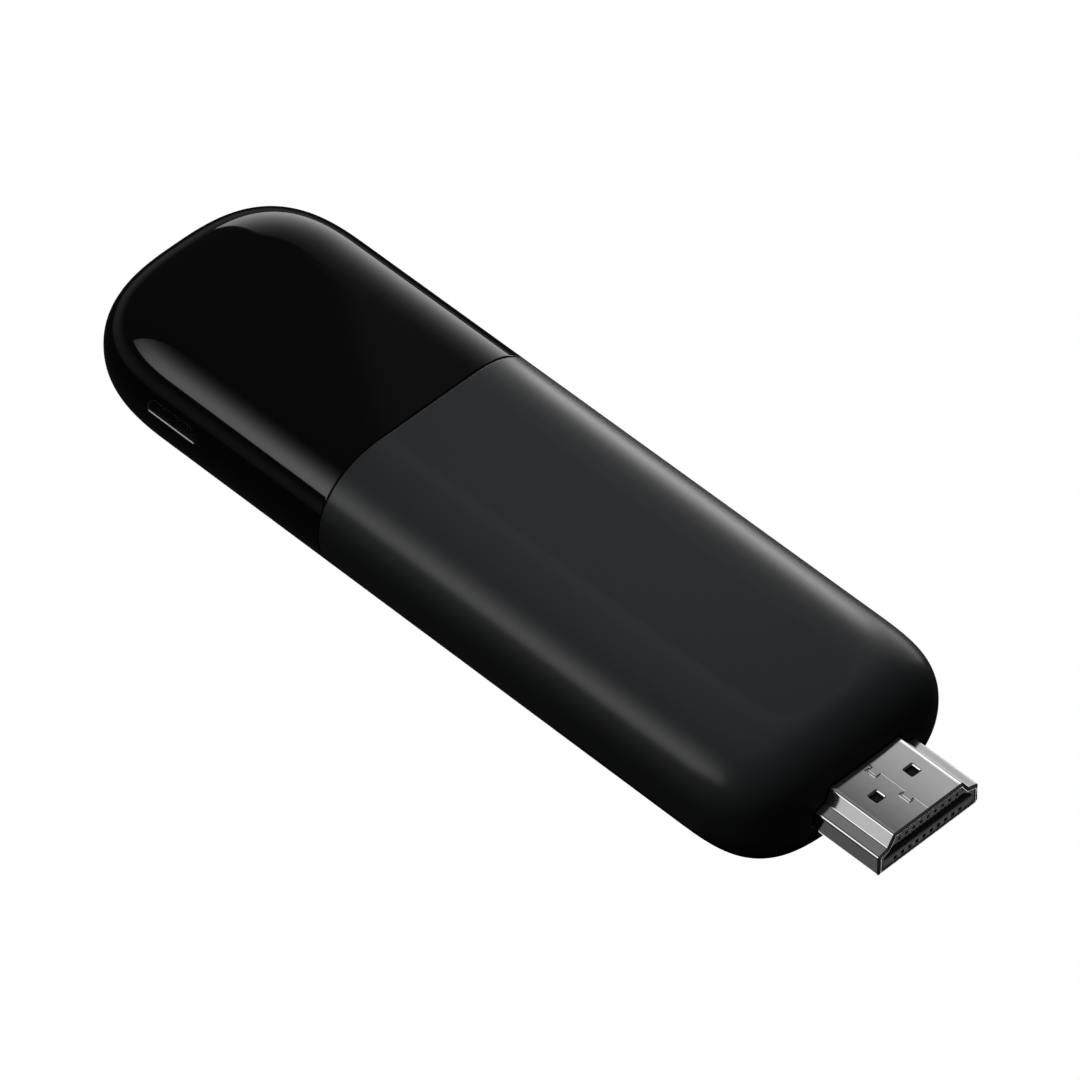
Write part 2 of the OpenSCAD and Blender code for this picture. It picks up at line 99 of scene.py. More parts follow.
class Mesh:
    """Points in millimetres and the faces between them, gathered piece by piece and then welded."""

    def __init__(self) -> None:
        """Starts empty."""
        self.points: list[Array] = []
        self.faces: list[list[int]] = []
        self.count = 0

    def add(self, points: Array) -> int:
        """Adds points.

        Args:
            points: any array whose last axis is x, y, z.

        Returns:
            The number of the first added point.
        """
        first = self.count
        flat = np.asarray(points, float).reshape(-1, 3)
        self.points.append(flat)
        self.count += len(flat)
        return first

    def sheet(self, points: Array, keep: Array | None = None, closed: bool = False) -> None:
        """Adds a grid of points with a quad between each four neighbours.

        Args:
            points: rows by columns by 3.
            keep: rows-1 by columns-1 of booleans, False where a quad is left out.
            closed: True where the last column joins the first.
        """
        first = self.add(points)
        rows, columns = points.shape[:2]
        place = first + np.arange(rows * columns).reshape(rows, columns)
        if closed:
            place = np.concatenate((place, place[:, :1]), axis=1)
        quads = np.stack((place[:-1, :-1], place[1:, :-1], place[1:, 1:], place[:-1, 1:]), axis=-1)
        kept = quads.reshape(-1, 4) if keep is None else quads[keep]
        self.faces.extend(kept.tolist())

    def tube(self, loops: Sequence[Array]) -> None:
        """Adds the wall that runs through a list of closed loops."""
        self.sheet(np.stack(loops), closed=True)

    def triangles(self, points: Array, faces: Array) -> None:
        """Adds triangles between points, n by 3, given as m by 3 places in them."""
        first = self.add(points)
        self.faces.extend((np.asarray(faces) + first).tolist())

    def fan(self, loop: Array) -> None:
        """Closes a loop of points with one many-sided face."""
        first = self.add(loop)
        self.faces.append(list(range(first, first + len(loop))))

    def build(self, name: str, slot: str, replaces: Sequence[str], crease: float = CREASE) -> Object:
        """Welds the points, turns the faces outwards and puts the object in the scene.

        Args:
            name: the piece's name.
            slot: the record's material slot.
            replaces: the CAD nodes that the piece stands for.
            crease: the angle in radians above which an edge stays sharp.

        Returns:
            The object, riding on the body.
        """
        data = bpy.data.meshes.new(name)
        data.from_pydata((np.concatenate(self.points) * MM).tolist(), [], self.faces)
        work = bmesh.new()
        work.from_mesh(data)
        bmesh.ops.remove_doubles(work, verts=work.verts, dist=WELD)
        bmesh.ops.recalc_face_normals(work, faces=work.faces)
        open_edges = sum(1 for edge in work.edges if not edge.is_manifold)
        work.to_mesh(data)
        work.free()
        data.polygons.foreach_set("use_smooth", [True] * len(data.polygons))
        data.set_sharp_from_angle(angle=crease)
        piece = placed(name, data)
        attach(piece, BODY)
        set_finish(piece, slot)
        if replaces:
            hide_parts(*replaces)
        LOG.info("%s: %d faces, %d open edges", name, len(data.polygons), open_edges)
        return piece


def placed(name: str, data: bpy.types.ID) -> Object:
    """Makes an object of some data and puts it in the scene."""
    thing = bpy.data.objects.new(name, data)
    bpy.context.scene.collection.objects.link(thing)
    return thing


def lifted(flat: Array, axis: int, where: float | Array) -> Array:
    """Turns flat points into points in space by putting in the coordinate of one axis, 0 for x or 1 for y."""
    return np.insert(flat, axis, where, axis=1)


def spread(parameter: Array, curve: Array, count: int, bend: float = 1.0) -> Array:
    """Picks parameter values that lie evenly along a curve and closer together where it turns.

    The measure that is shared out evenly is length over total length, plus bend times
    turning over total turning.

    Args:
        parameter: n rising values.
        curve: n by 2, the curve at those values.
        count: how many values to pick.
        bend: how much turning counts against length.

    Returns:
        count values from the first parameter to the last.
    """
    step = np.diff(curve, axis=0)
    length = np.hypot(step[:, 0], step[:, 1])
    heading = np.unwrap(np.arctan2(step[:, 1], step[:, 0]))
    turning = np.abs(np.diff(heading, prepend=heading[0]))
    share = length / length.sum() + bend * turning / turning.sum()
    measure = np.concatenate(([0.0], np.cumsum(share)))
    return np.interp(np.linspace(0.0, measure[-1], count), measure, parameter)


def outward(loop: Array) -> Array:
    """Gives the outward unit normal at each point of a closed anticlockwise loop, n by 2."""
    along = np.roll(loop, -1, axis=0) - np.roll(loop, 1, axis=0)
    along /= np.linalg.norm(along, axis=1, keepdims=True)
    return np.stack((along[:, 1], -along[:, 0]), axis=1)


def grown(loop: Array, by: float) -> Array:
    """Moves each point of a closed anticlockwise loop outwards by a distance, inwards if it is negative."""
    return loop + by * outward(loop)


def filleted(
    corners: Array, radii: Array, spacing: float, arc_steps: int = 6, counts: Sequence[int] | None = None
) -> list[Array]:
    """Rounds the corners of an anticlockwise polygon.

    Each corner becomes an arc that touches both sides; the arc's centre lies on the corner's bisector.

    Args:
        corners: n by 2.
        radii: n radii.
        spacing: the distance between points on the straight sides.
        arc_steps: steps in each arc.
        counts: the steps on each straight side, in place of spacing.

    Returns:
        For each corner its arc and then the straight side that follows it, each with both its ends.
    """
    arcs = []
    for k, corner in enumerate(corners):
        before = corners[k - 1] - corner
        after = corners[(k + 1) % len(corners)] - corner
        before /= np.linalg.norm(before)
        after /= np.linalg.norm(after)
        half = 0.5 * math.acos(float(np.clip(before @ after, -1.0, 1.0)))
        middle = before + after
        middle /= np.linalg.norm(middle)
        centre = corner + middle * radii[k] / math.sin(half)
        touch = radii[k] / math.tan(half)
        start = corner + before * touch - centre
        end = corner + after * touch - centre
        opening = math.atan2(start[0] * end[1] - start[1] * end[0], start @ end)
        angle = np.linspace(0.0, opening, arc_steps + 1)[:, None]
        quarter = np.array([-start[1], start[0]])
        arcs.append(centre + np.cos(angle) * start + np.sin(angle) * quarter)
    parts = []
    for k, arc in enumerate(arcs):
        nxt = arcs[(k + 1) % len(arcs)][0]
        long = float(np.linalg.norm(nxt - arc[-1]))
        steps = counts[k] if counts else max(1, round(long / spacing))
        share = np.linspace(0.0, 1.0, steps + 1)[:, None]
        parts.append(arc)
        parts.append(arc[-1] * (1 - share) + nxt * share)
    return parts


def ring_of(parts: Sequence[Array]) -> Array:
    """Joins arcs and sides into one closed loop without repeated points."""
    return np.concatenate([part[:-1] for part in parts])


def rounded_box(centre: Sequence[float], size: Sequence[float], radius: float, arc_steps: int = 5) -> Array:
    """Gives an anticlockwise rounded rectangle, n by 2, about a centre."""
    half = np.asarray(size, float) / 2
    corners = np.asarray(centre, float) + half * np.array([[-1, -1], [1, -1], [1, 1], [-1, 1]])
    return ring_of(filleted(corners, np.full(4, radius), BOX_SPACING, arc_steps))


def inside(points: Array, loop: Array) -> Array:
    """Says which points lie inside a closed loop, by counting the sides that a ray crosses.

    Args:
        points: n by 2.
        loop: the loop, m by 2.

    Returns:
        n booleans.
    """
    x, y = points[:, 0, None], points[:, 1, None]
    x0, y0 = loop[:, 0], loop[:, 1]
    x1, y1 = np.roll(x0, -1), np.roll(y0, -1)
    spans = (y0 > y) != (y1 > y)
    rise = np.where(y1 == y0, 1.0, y1 - y0)
    crossing = x0 + (y - y0) * (x1 - x0) / rise
    return (spans & (x < crossing)).sum(axis=1) % 2 == 1


def filled(
    outer: Array, holes: Sequence[Array] = (), spacing: float = 0.0, rings: Sequence[Array] = ()
) -> tuple[Array, Array]:
    """Fills a flat outline that may have holes with triangles.

    Args:
        outer: the closed outline, n by 2.
        holes: closed outlines inside it that stay open.
        spacing: the spacing of extra points inside, or 0 for none.
        rings: closed outlines inside it that only add edges.

    Returns:
        The points, n by 2, and the triangles, m by 3.
    """
    loops = [outer, *holes, *rings]
    points = np.concatenate(loops)
    edges = []
    first = 0
    for loop in loops:
        place = first + np.arange(len(loop))
        edges.extend(np.stack((place, np.roll(place, -1)), axis=1).tolist())
        first += len(loop)
    if spacing:
        low, high = outer.min(axis=0), outer.max(axis=0)
        across, up = np.meshgrid(*(np.arange(a + spacing / 2, b, spacing) for a, b in zip(low, high)))
        grid = np.stack((across.ravel(), up.ravel()), axis=1)
        gap = np.linalg.norm(grid[:, None] - points[None], axis=2).min(axis=1)
        border = np.minimum(grid - low, high - grid).min(axis=1)
        clear = (gap > CLEAR_OF_EDGES * spacing) & (border > CLEAR_OF_BORDER * spacing)
        points = np.concatenate((points, grid[clear & inside(grid, outer)]))
    made = delaunay_2d_cdt([Vector(p) for p in points.tolist()], edges, [], 0, 1e-7, True)
    flat = np.array([tuple(p) for p in made[0]])
    origin = np.array([group[0] if group else -1 for group in made[3]])
    flat[origin >= 0] = points[origin[origin >= 0]]
    faces = np.array([f for f in made[2] if len(f) == 3])
    middle = flat[faces].mean(axis=1)
    kept = inside(middle, outer)
    for hole in holes:
        kept &= ~inside(middle, hole)
    return flat, faces[kept]


@dataclass(frozen=True)
class Cut:
    """A hole, pocket or groove in a flat face.

    The profile lists (inwards, deep) steps from the face; floor closes the last step.
    """

    outline: Array
    profile: Steps
    floor: bool

    def add_to(self, mesh: Mesh, place: Callable[[Array, float], Array]) -> None:
        """Adds the walls, and the floor where there is one.

        Args:
            mesh: the mesh to add to.
            place: turns flat points and a depth into points in space.
        """
        loops = [place(grown(self.outline, -inwards), deep) for inwards, deep in self.profile]
        mesh.tube(loops)
        if self.floor:
            inwards, deep = self.profile[-1]
            flat, faces = filled(grown(self.outline, -inwards))
            mesh.triangles(place(flat, deep), faces)


# ---------------- shaders


def operator(kind: str, swapped: bool = False) -> Callable[["Value", object], "Value"]:
    """Makes an operator of Value that adds a Math node.

    Args:
        kind: the node's operation.
        swapped: True for the reflected form, where the value comes second.

    Returns:
        The method.
    """

    def apply(value: "Value", other: object) -> "Value":
        """Adds the node."""
        pair = (other, value) if swapped else (value, other)
        return value.graph.add("ShaderNodeMath", {"operation": kind}, dict(enumerate(pair)), 0)

    return apply


class Value:
    """A shader socket that adds, subtracts and multiplies like a number."""

    def __init__(self, graph: "Nodes", socket: bpy.types.NodeSocket) -> None:
        """Wraps a socket of a graph."""
        self.graph = graph
        self.socket = socket

    __add__, __radd__ = operator("ADD"), operator("ADD", True)
    __sub__, __rsub__ = operator("SUBTRACT"), operator("SUBTRACT", True)
    __mul__, __rmul__ = operator("MULTIPLY"), operator("MULTIPLY", True)

    def stretch(self, low: float, high: float, start: float = 0.0, end: float = 1.0) -> "Value":
        """Maps low..high smoothly onto start..end and holds the ends."""
        settings = {"interpolation_type": "SMOOTHSTEP"}
        return self.graph.add("ShaderNodeMapRange", settings, {0: self, 1: low, 2: high, 3: start, 4: end}, 0)


class Nodes:
    """The node tree of a material or of the world."""

    def __init__(self, owner: bpy.types.Material | bpy.types.World, output: str) -> None:
        """Empties the owner's tree and adds its output node."""
        owner.use_nodes = True
        self.tree = owner.node_tree
        self.tree.nodes.clear()
        self.surface = self.tree.nodes.new(output).inputs["Surface"]

    def add(self, kind: str, settings: Settings, inputs: Settings, output: object) -> Value:
        """Adds any node.

        Args:
            kind: the node's type.
            settings: its properties, set before its inputs; stops are a ramp's places and grey levels.
            inputs: values or Values by input name or number.
            output: the name or number of the output to give back.

        Returns:
            That output.
        """
        node = self.tree.nodes.new(kind)
        for name, setting in settings.items():
            if name == "stops":
                self.set_stops(node.color_ramp.elements, setting)
            else:
                setattr(node, name, setting)
        for key, value in inputs.items():
            self.feed(node.inputs[key], value)
        return Value(self, node.outputs[output])

    def set_stops(self, elements: object, stops: Sequence[tuple[float, float]]) -> None:
        """Sets a ramp's stops.

        Args:
            elements: the ramp's elements.
            stops: the place and the grey level of each.
        """
        while len(elements) < len(stops):
            elements.new(0.5)
        for element, (place, grey) in zip(elements, stops):
            element.position = place
            element.color = (grey, grey, grey, 1.0)

    def feed(self, socket: bpy.types.NodeSocket, value: object) -> None:
        """Links a Value to a socket, or sets a plain value on it."""
        if isinstance(value, Value):
            self.tree.links.new(value.socket, socket)
        else:
            socket.default_value = value


class Graph(Nodes):
    """The nodes of one material, round a Principled shader."""

    def __init__(self, name: str) -> None:
        """Makes the material, its shader and the place on the object."""
        self.material = bpy.data.materials.new(name)
        super().__init__(self.material, "ShaderNodeOutputMaterial")
        self.shader = self.tree.nodes.new("ShaderNodeBsdfPrincipled")
        self.feed(self.surface, Value(self, self.shader.outputs[0]))
        self.place = self.add("ShaderNodeTexCoord", {}, {}, "Object")

    def set(self, **inputs: object) -> None:
        """Feeds the Principled shader, with underscores in names standing for spaces."""
        for name, value in inputs.items():
            self.feed(self.shader.inputs[name.replace("_", " ")], value)

    def noise(self, size_mm: float, detail: float = 3.0, stretch: Sequence[float] = (1, 1, 1)) -> Value:
        """Gives noise from 0 to 1 with features of a size, longer along the axes with a larger stretch."""
        scale = [1 / (MM * size_mm * s) for s in stretch]
        moved = self.add("ShaderNodeVectorMath", {"operation": "MULTIPLY"}, {0: self.place, 1: scale}, 0)
        return self.add("ShaderNodeTexNoise", {}, {"Vector": moved, "Scale": 1.0, "Detail": detail}, "Fac")

    def cells(self, size_mm: float) -> Value:
        """Gives the distance to the middle of the nearest of many small cells."""
        inputs = {"Vector": self.place, "Scale": 1 / (MM * size_mm)}
        return self.add("ShaderNodeTexVoronoi", {}, inputs, "Distance")

    def blend(self, share: object, low: Color, high: Color) -> Value:
        """Mixes two colours by a share from 0 to 1."""
        inputs = {0: share, 6: (*low, 1.0), 7: (*high, 1.0)}
        return self.add("ShaderNodeMix", {"data_type": "RGBA"}, inputs, 2)

    def bump(self, height: Value, deep_mm: float) -> None:
        """Turns a height from 0 to 1 into relief of a depth on the Principled shader's normal."""
        inputs = {"Height": height, "Distance": deep_mm * MM, "Strength": 1.0}
        self.set(Normal=self.add("ShaderNodeBump", {}, inputs, "Normal"))


def tinted(color: Color, by: float) -> Color:
    """Scales a colour."""
    return tuple(min(1.0, c * by) for c in color)


@dataclass(frozen=True)
class Finish:
    """A plastic, metal or coated surface: colour and roughness that wander a little, and fine relief."""

    color: Color
    roughness: float
    metallic: float = 0.0
    wander: float = 0.15
    rough_wander: float = 0.1
    patch_mm: float = 4.0
    grain_mm: float = 0.2
    relief_mm: float = 0.0
    stretch: tuple[float, float, float] = (1.0, 1.0, 1.0)
    speculars: float = 0.5
    coat: float = 0.0
    coat_roughness: float = 0.3

    def make(self, name: str) -> bpy.types.Material:
        """Builds the material.

        Args:
            name: the material's name.

        Returns:
            The material.
        """
        graph = Graph(name)
        self.paint(graph)
        return graph.material

    def shades(self, graph: Graph, share: Value) -> Value:
        """Runs from a darker to a lighter shade of the colour by a share."""
        return graph.blend(share, tinted(self.color, 1 - self.wander), tinted(self.color, 1 + self.wander))

    def paint(self, graph: Graph) -> None:
        """Feeds the material's shader; patches give 0.6 of the roughness's wandering and grain gives 0.4.

        Args:
            graph: the material's nodes.
        """
        patches = graph.noise(self.patch_mm, 4.0)
        grain = graph.noise(self.grain_mm, 2.0, self.stretch)
        spread_by = patches * (0.6 * self.rough_wander) + grain * (0.4 * self.rough_wander)
        graph.set(Base_Color=self.shades(graph, patches), Metallic=self.metallic)
        graph.set(Roughness=spread_by + (self.roughness - 0.5 * self.rough_wander))
        graph.set(Specular_IOR_Level=self.speculars)
        graph.set(Coat_Weight=self.coat, Coat_Roughness=self.coat_roughness)
        if self.relief_mm:
            graph.bump(grain, self.relief_mm)


@dataclass(frozen=True)
class Laminate(Finish):
    """A coated circuit board: a weave under the coat, lighter copper tracks and small vias."""

    track: Color = (0.02, 0.12, 0.05)

    def paint(self, graph: Graph) -> None:
        """Feeds the material's shader.

        Args:
            graph: the material's nodes.
        """
        weave = graph.noise(0.5, 1.0, (4.0, 1.0, 1.0)) + graph.noise(0.5, 1.0, (1.0, 4.0, 1.0))
        tracks = graph.noise(1.6, 0.0, (3.0, 1.0, 1.0)).stretch(0.5, 0.53)
        vias = graph.cells(1.3).stretch(0.12, 0.15, 1.0, 0.0)
        graph.set(Base_Color=graph.blend(tracks, self.color, self.track), Metallic=vias * 0.8)
        graph.set(Roughness=weave * 0.1 + self.roughness, Specular_IOR_Level=self.speculars)
        graph.bump(tracks + vias * -0.6, 0.02)


@dataclass(frozen=True)
class ChipResin(Finish):
    """Moulded chip resin with a fine peened surface."""

    def paint(self, graph: Graph) -> None:
        """Feeds the material's shader.

        Args:
            graph: the material's nodes.
        """
        peened = graph.cells(0.12)
        tone = self.shades(graph, graph.noise(self.patch_mm, 2.0))
        graph.set(Base_Color=tone, Roughness=peened * 0.1 + self.roughness)
        graph.bump(peened, 0.006)


@dataclass(frozen=True)
class EndCapped(Finish):
    """Ceramic parts whose tinned ends show as patches of lighter metal."""

    ends: Color = (0.7, 0.7, 0.68)

    def paint(self, graph: Graph) -> None:
        """Feeds the material's shader.

        Args:
            graph: the material's nodes.
        """
        bands = graph.noise(0.7, 0.0).stretch(0.56, 0.6)
        graph.set(Base_Color=graph.blend(bands, self.color, self.ends), Metallic=bands * 0.9)
        graph.set(Roughness=bands * -0.15 + self.roughness)
        graph.bump(graph.noise(0.15, 2.0), 0.004)


class Look(Enum):
    """The finish of each material slot."""

    matte_casing = Finish(
        (0.0115, 0.0125, 0.0135), 0.68, wander=0.04, rough_wander=0.03, grain_mm=0.16, relief_mm=0.0015,
        speculars=0.25, coat=0.8, coat_roughness=0.27
    )
    gloss_casing = Finish(
        (0.0035, 0.0036, 0.004), 0.05, wander=0.1, rough_wander=0.03, patch_mm=14.0, grain_mm=0.6
    )
    tray_plastic = Finish((0.03, 0.03, 0.032), 0.5, relief_mm=0.004)
    board_laminate = Laminate((0.006, 0.05, 0.018), 0.35)
    screw_steel = Finish((0.5, 0.49, 0.47), 0.3, 1.0, grain_mm=0.1, relief_mm=0.003)
    plug_metal = Finish(
        (0.7, 0.7, 0.7), 0.09, 1.0, wander=0.02, rough_wander=0.02, patch_mm=3.0, grain_mm=0.25
    )
    socket_metal = Finish((0.6, 0.59, 0.57), 0.24, 1.0, wander=0.06, rough_wander=0.08, patch_mm=2.0)
    insert_plastic = Finish((0.05, 0.051, 0.053), 0.4, wander=0.1, rough_wander=0.08, relief_mm=0.003)
    contact_metal = Finish((0.83, 0.58, 0.25), 0.22, 1.0, wander=0.05, patch_mm=0.8)
    tinned_sheet = Finish(
        (0.62, 0.62, 0.6), 0.33, 1.0, wander=0.08, grain_mm=0.3, relief_mm=0.004, stretch=(3.0, 1.0, 1.0)
    )
    chip_resin = ChipResin((0.02, 0.02, 0.021), 0.45)
    inductor_core = Finish((0.07, 0.07, 0.075), 0.55, grain_mm=0.12, relief_mm=0.01)
    capacitor_ceramic = EndCapped((0.32, 0.2, 0.11), 0.4)
    thermal_pad = Finish((0.33, 0.36, 0.42), 0.75, wander=0.1, grain_mm=0.3, relief_mm=0.02)
    spreader_aluminium = Finish(
        (0.72, 0.73, 0.74), 0.35, 1.0, grain_mm=0.1, relief_mm=0.003, stretch=(20.0, 1.0, 1.0)
    )
    antenna_metal = Finish((0.75, 0.6, 0.38), 0.3, 1.0, wander=0.06, grain_mm=0.2, relief_mm=0.002)


class Wardrobe:
    """Makes each slot's material once and puts it on pieces."""

    def __init__(self) -> None:
        """Starts with no material made."""
        self.made: dict[str, bpy.types.Material] = {}

    def dress(self, piece: Object, slot: str) -> None:
        """Puts a slot's material on every face of a piece."""
        if slot not in self.made:
            self.made[slot] = Look[slot].value.make(slot)
        worn = piece.data.materials
        if not worn:
            worn.append(None)
        for k in range(len(worn)):
            worn[k] = self.made[slot]


# ---------------- casing


@dataclass(frozen=True)
class EndForm:
    """One rounded end of the casing with the straight girth that runs into it.

    A girth level is an angle from -90 degrees at the flat underside to 90 at the flat top. At each level
    the outline comes in by 1 - cos(level)^(2/edge_n) of its full inset, and the height goes as
    sin(level)^(2/edge_n). The end's plan is a superellipse of power plan_n.
    """

    middle_x: float
    out: float
    deep: float
    tip_in: float
    plan_n: float
    width: float
    thick: float
    edge_in: float
    edge_n: float

    def inset(self, level: Array) -> Array:
        """Gives the share of the full inset at a level."""
        return 1 - np.clip(np.cos(level), 0, 1) ** (2 / self.edge_n)

    def height(self, level: Array, depth: float) -> Array:
        """Gives z at a level, a depth below the skin."""
        rise = np.sign(level) * np.abs(np.sin(level)) ** (2 / self.edge_n)
        return self.thick / 2 + (self.thick / 2 - depth) * rise

    def half_width(self, level: Array, depth: float) -> Array:
        """Gives half the width at a level."""
        return self.width / 2 - depth - (self.edge_in - depth) * self.inset(level)

    def reach(self, level: Array, depth: float) -> Array:
        """Gives how far the end reaches past the middle at a level."""
        return self.deep - depth - (self.tip_in - depth) * self.inset(level)

    def level_at(self, z: Array, depth: float) -> Array:
        """Gives the level whose height is z."""
        share = np.clip((z - self.thick / 2) / (self.thick / 2 - depth), -1, 1)
        return np.sign(share) * np.arcsin(np.abs(share) ** (self.edge_n / 2))

    def skin(self, level: Array, turn: Array, back: Array, depth: float) -> Array:
        """Gives points of the side wall.

        Args:
            level: rows of girth levels.
            turn: columns of plan angles, -90 degrees at -Y and 90 at +Y.
            back: columns of distances back along the straight sides.
            depth: distance below the outer skin.

        Returns:
            Rows by columns by 3.
        """
        f = level[:, None]
        bow = np.clip(np.cos(turn), 0, 1) ** (2 / self.plan_n)
        side = np.sign(turn) * np.abs(np.sin(turn)) ** (2 / self.plan_n)
        x = self.middle_x + self.out * (self.reach(f, depth) * bow - back)
        y = self.half_width(f, depth) * side
        z = self.height(f, depth) + 0 * x
        return np.stack((x, y, z), axis=-1)

    def end_x(self, y: Array, z: Array, depth: float) -> Array:
        """Gives x on the rounded end where y and z are known."""
        f = self.level_at(z, depth)
        sine = np.clip(np.abs(y) / self.half_width(f, depth), 0, 1) ** (self.plan_n / 2)
        bow = np.sqrt(1 - sine**2) ** (2 / self.plan_n)
        return self.middle_x + self.out * self.reach(f, depth) * bow

    def side_y(self, x: Array, z: Array, depth: float) -> Array:
        """Gives y on the -Y side where x and z are known."""
        f = self.level_at(z, depth)
        past = np.clip((x - self.middle_x) * self.out / self.reach(f, depth), 0, 1) ** (self.plan_n / 2)
        return -self.half_width(f, depth) * np.sqrt(1 - past**2) ** (2 / self.plan_n)


@dataclass(frozen=True)
class Doorway:
    """An opening through the casing wall.

    across says which axis the outline's first number is: "y" for one in the end, "x" for one in the -Y side.
    """

    across: str
    outline: Array
    margin: tuple[float, float]
    fillet: float
    fineness: int = 40

    def lift(self, form: EndForm, flat: Array, depth: float) -> Array:
        """Puts flat points on the skin at a depth."""
        a, z = flat[..., 0], flat[..., 1]
        if self.across == "y":
            return np.stack((form.end_x(a, z, depth), a, z), axis=-1)
        return np.stack((a, form.side_y(a, z, depth), z), axis=-1)

    def flatten(self, points: Array) -> Array:
        """Gives the two flat numbers of points in space."""
        return points[..., [1, 2]] if self.across == "y" else points[..., [0, 2]]

    def push(self, form: EndForm, points: Array, inwards: float) -> Array:
        """Moves points straight into the casing."""
        way = np.array([-form.out, 0, 0]) if self.across == "y" else np.array([0, 1.0, 0])
        return points + inwards * way

    def window(self, skin: Array) -> tuple[int, int, int, int]:
        """Finds the grid rectangle that the opening takes out.

        Args:
            skin: the grid of points, rows by columns by 3.

        Returns:
            Its first and last row, and its first and last column.
        """
        low = self.outline.min(axis=0) - self.margin
        high = self.outline.max(axis=0) + self.margin
        flat = self.flatten(skin)
        half_up = len(skin) // 2
        taken = (flat[half_up, :, 0] > low[0]) & (flat[half_up, :, 0] < high[0])
        if self.across == "x":
            taken &= skin[half_up, :, 1] < 0
        columns = np.flatnonzero(taken)
        rows = np.flatnonzero((flat[:, columns[0], 1] > low[1]) & (flat[:, columns[0], 1] < high[1]))
        return rows[0], rows[-1], columns[0], columns[-1]

    def matched(self, edge: Array) -> Array:
        """Gives a point of the outline for each point of a loop round it, by the angle about the middle.

        Args:
            edge: the loop, n by 2.

        Returns:
            The outline's points, n by 2.
        """
        middle = (self.outline.min(axis=0) + self.outline.max(axis=0)) / 2
        half = np.ptp(self.outline, axis=0) / 2
        closed = np.concatenate((self.outline, self.outline[:1]))
        share = np.linspace(0, 1, self.fineness)[:-1, None, None]
        fine = (closed[:-1] * (1 - share) + closed[1:] * share).transpose(1, 0, 2).reshape(-1, 2)
        angle = np.arctan2(*((fine - middle) / half).T[::-1])
        order = np.argsort(angle)
        wanted = np.arctan2(*((edge - middle) / half).T[::-1])
        table = angle[order]
        found = [np.interp(wanted, table, fine[order, k], period=2 * math.pi) for k in (0, 1)]
        return np.stack(found, axis=1)


def rim_of(window: tuple[int, int, int, int]) -> tuple[Array, Array]:
    """Walks the closed loop round a grid rectangle.

    Args:
        window: its first and last row, and its first and last column.

    Returns:
        The rows and the columns of the loop's points.
    """
    r0, r1, c0, c1 = window
    up, along = np.arange(r0, r1), np.arange(c0, c1)
    rows = np.concatenate((np.full(len(along), r0), up, np.full(len(along), r1), up[::-1] + 1))
    columns = np.concatenate((along, np.full(len(up), c1), along[::-1] + 1, np.full(len(up), c0)))
    return rows, columns


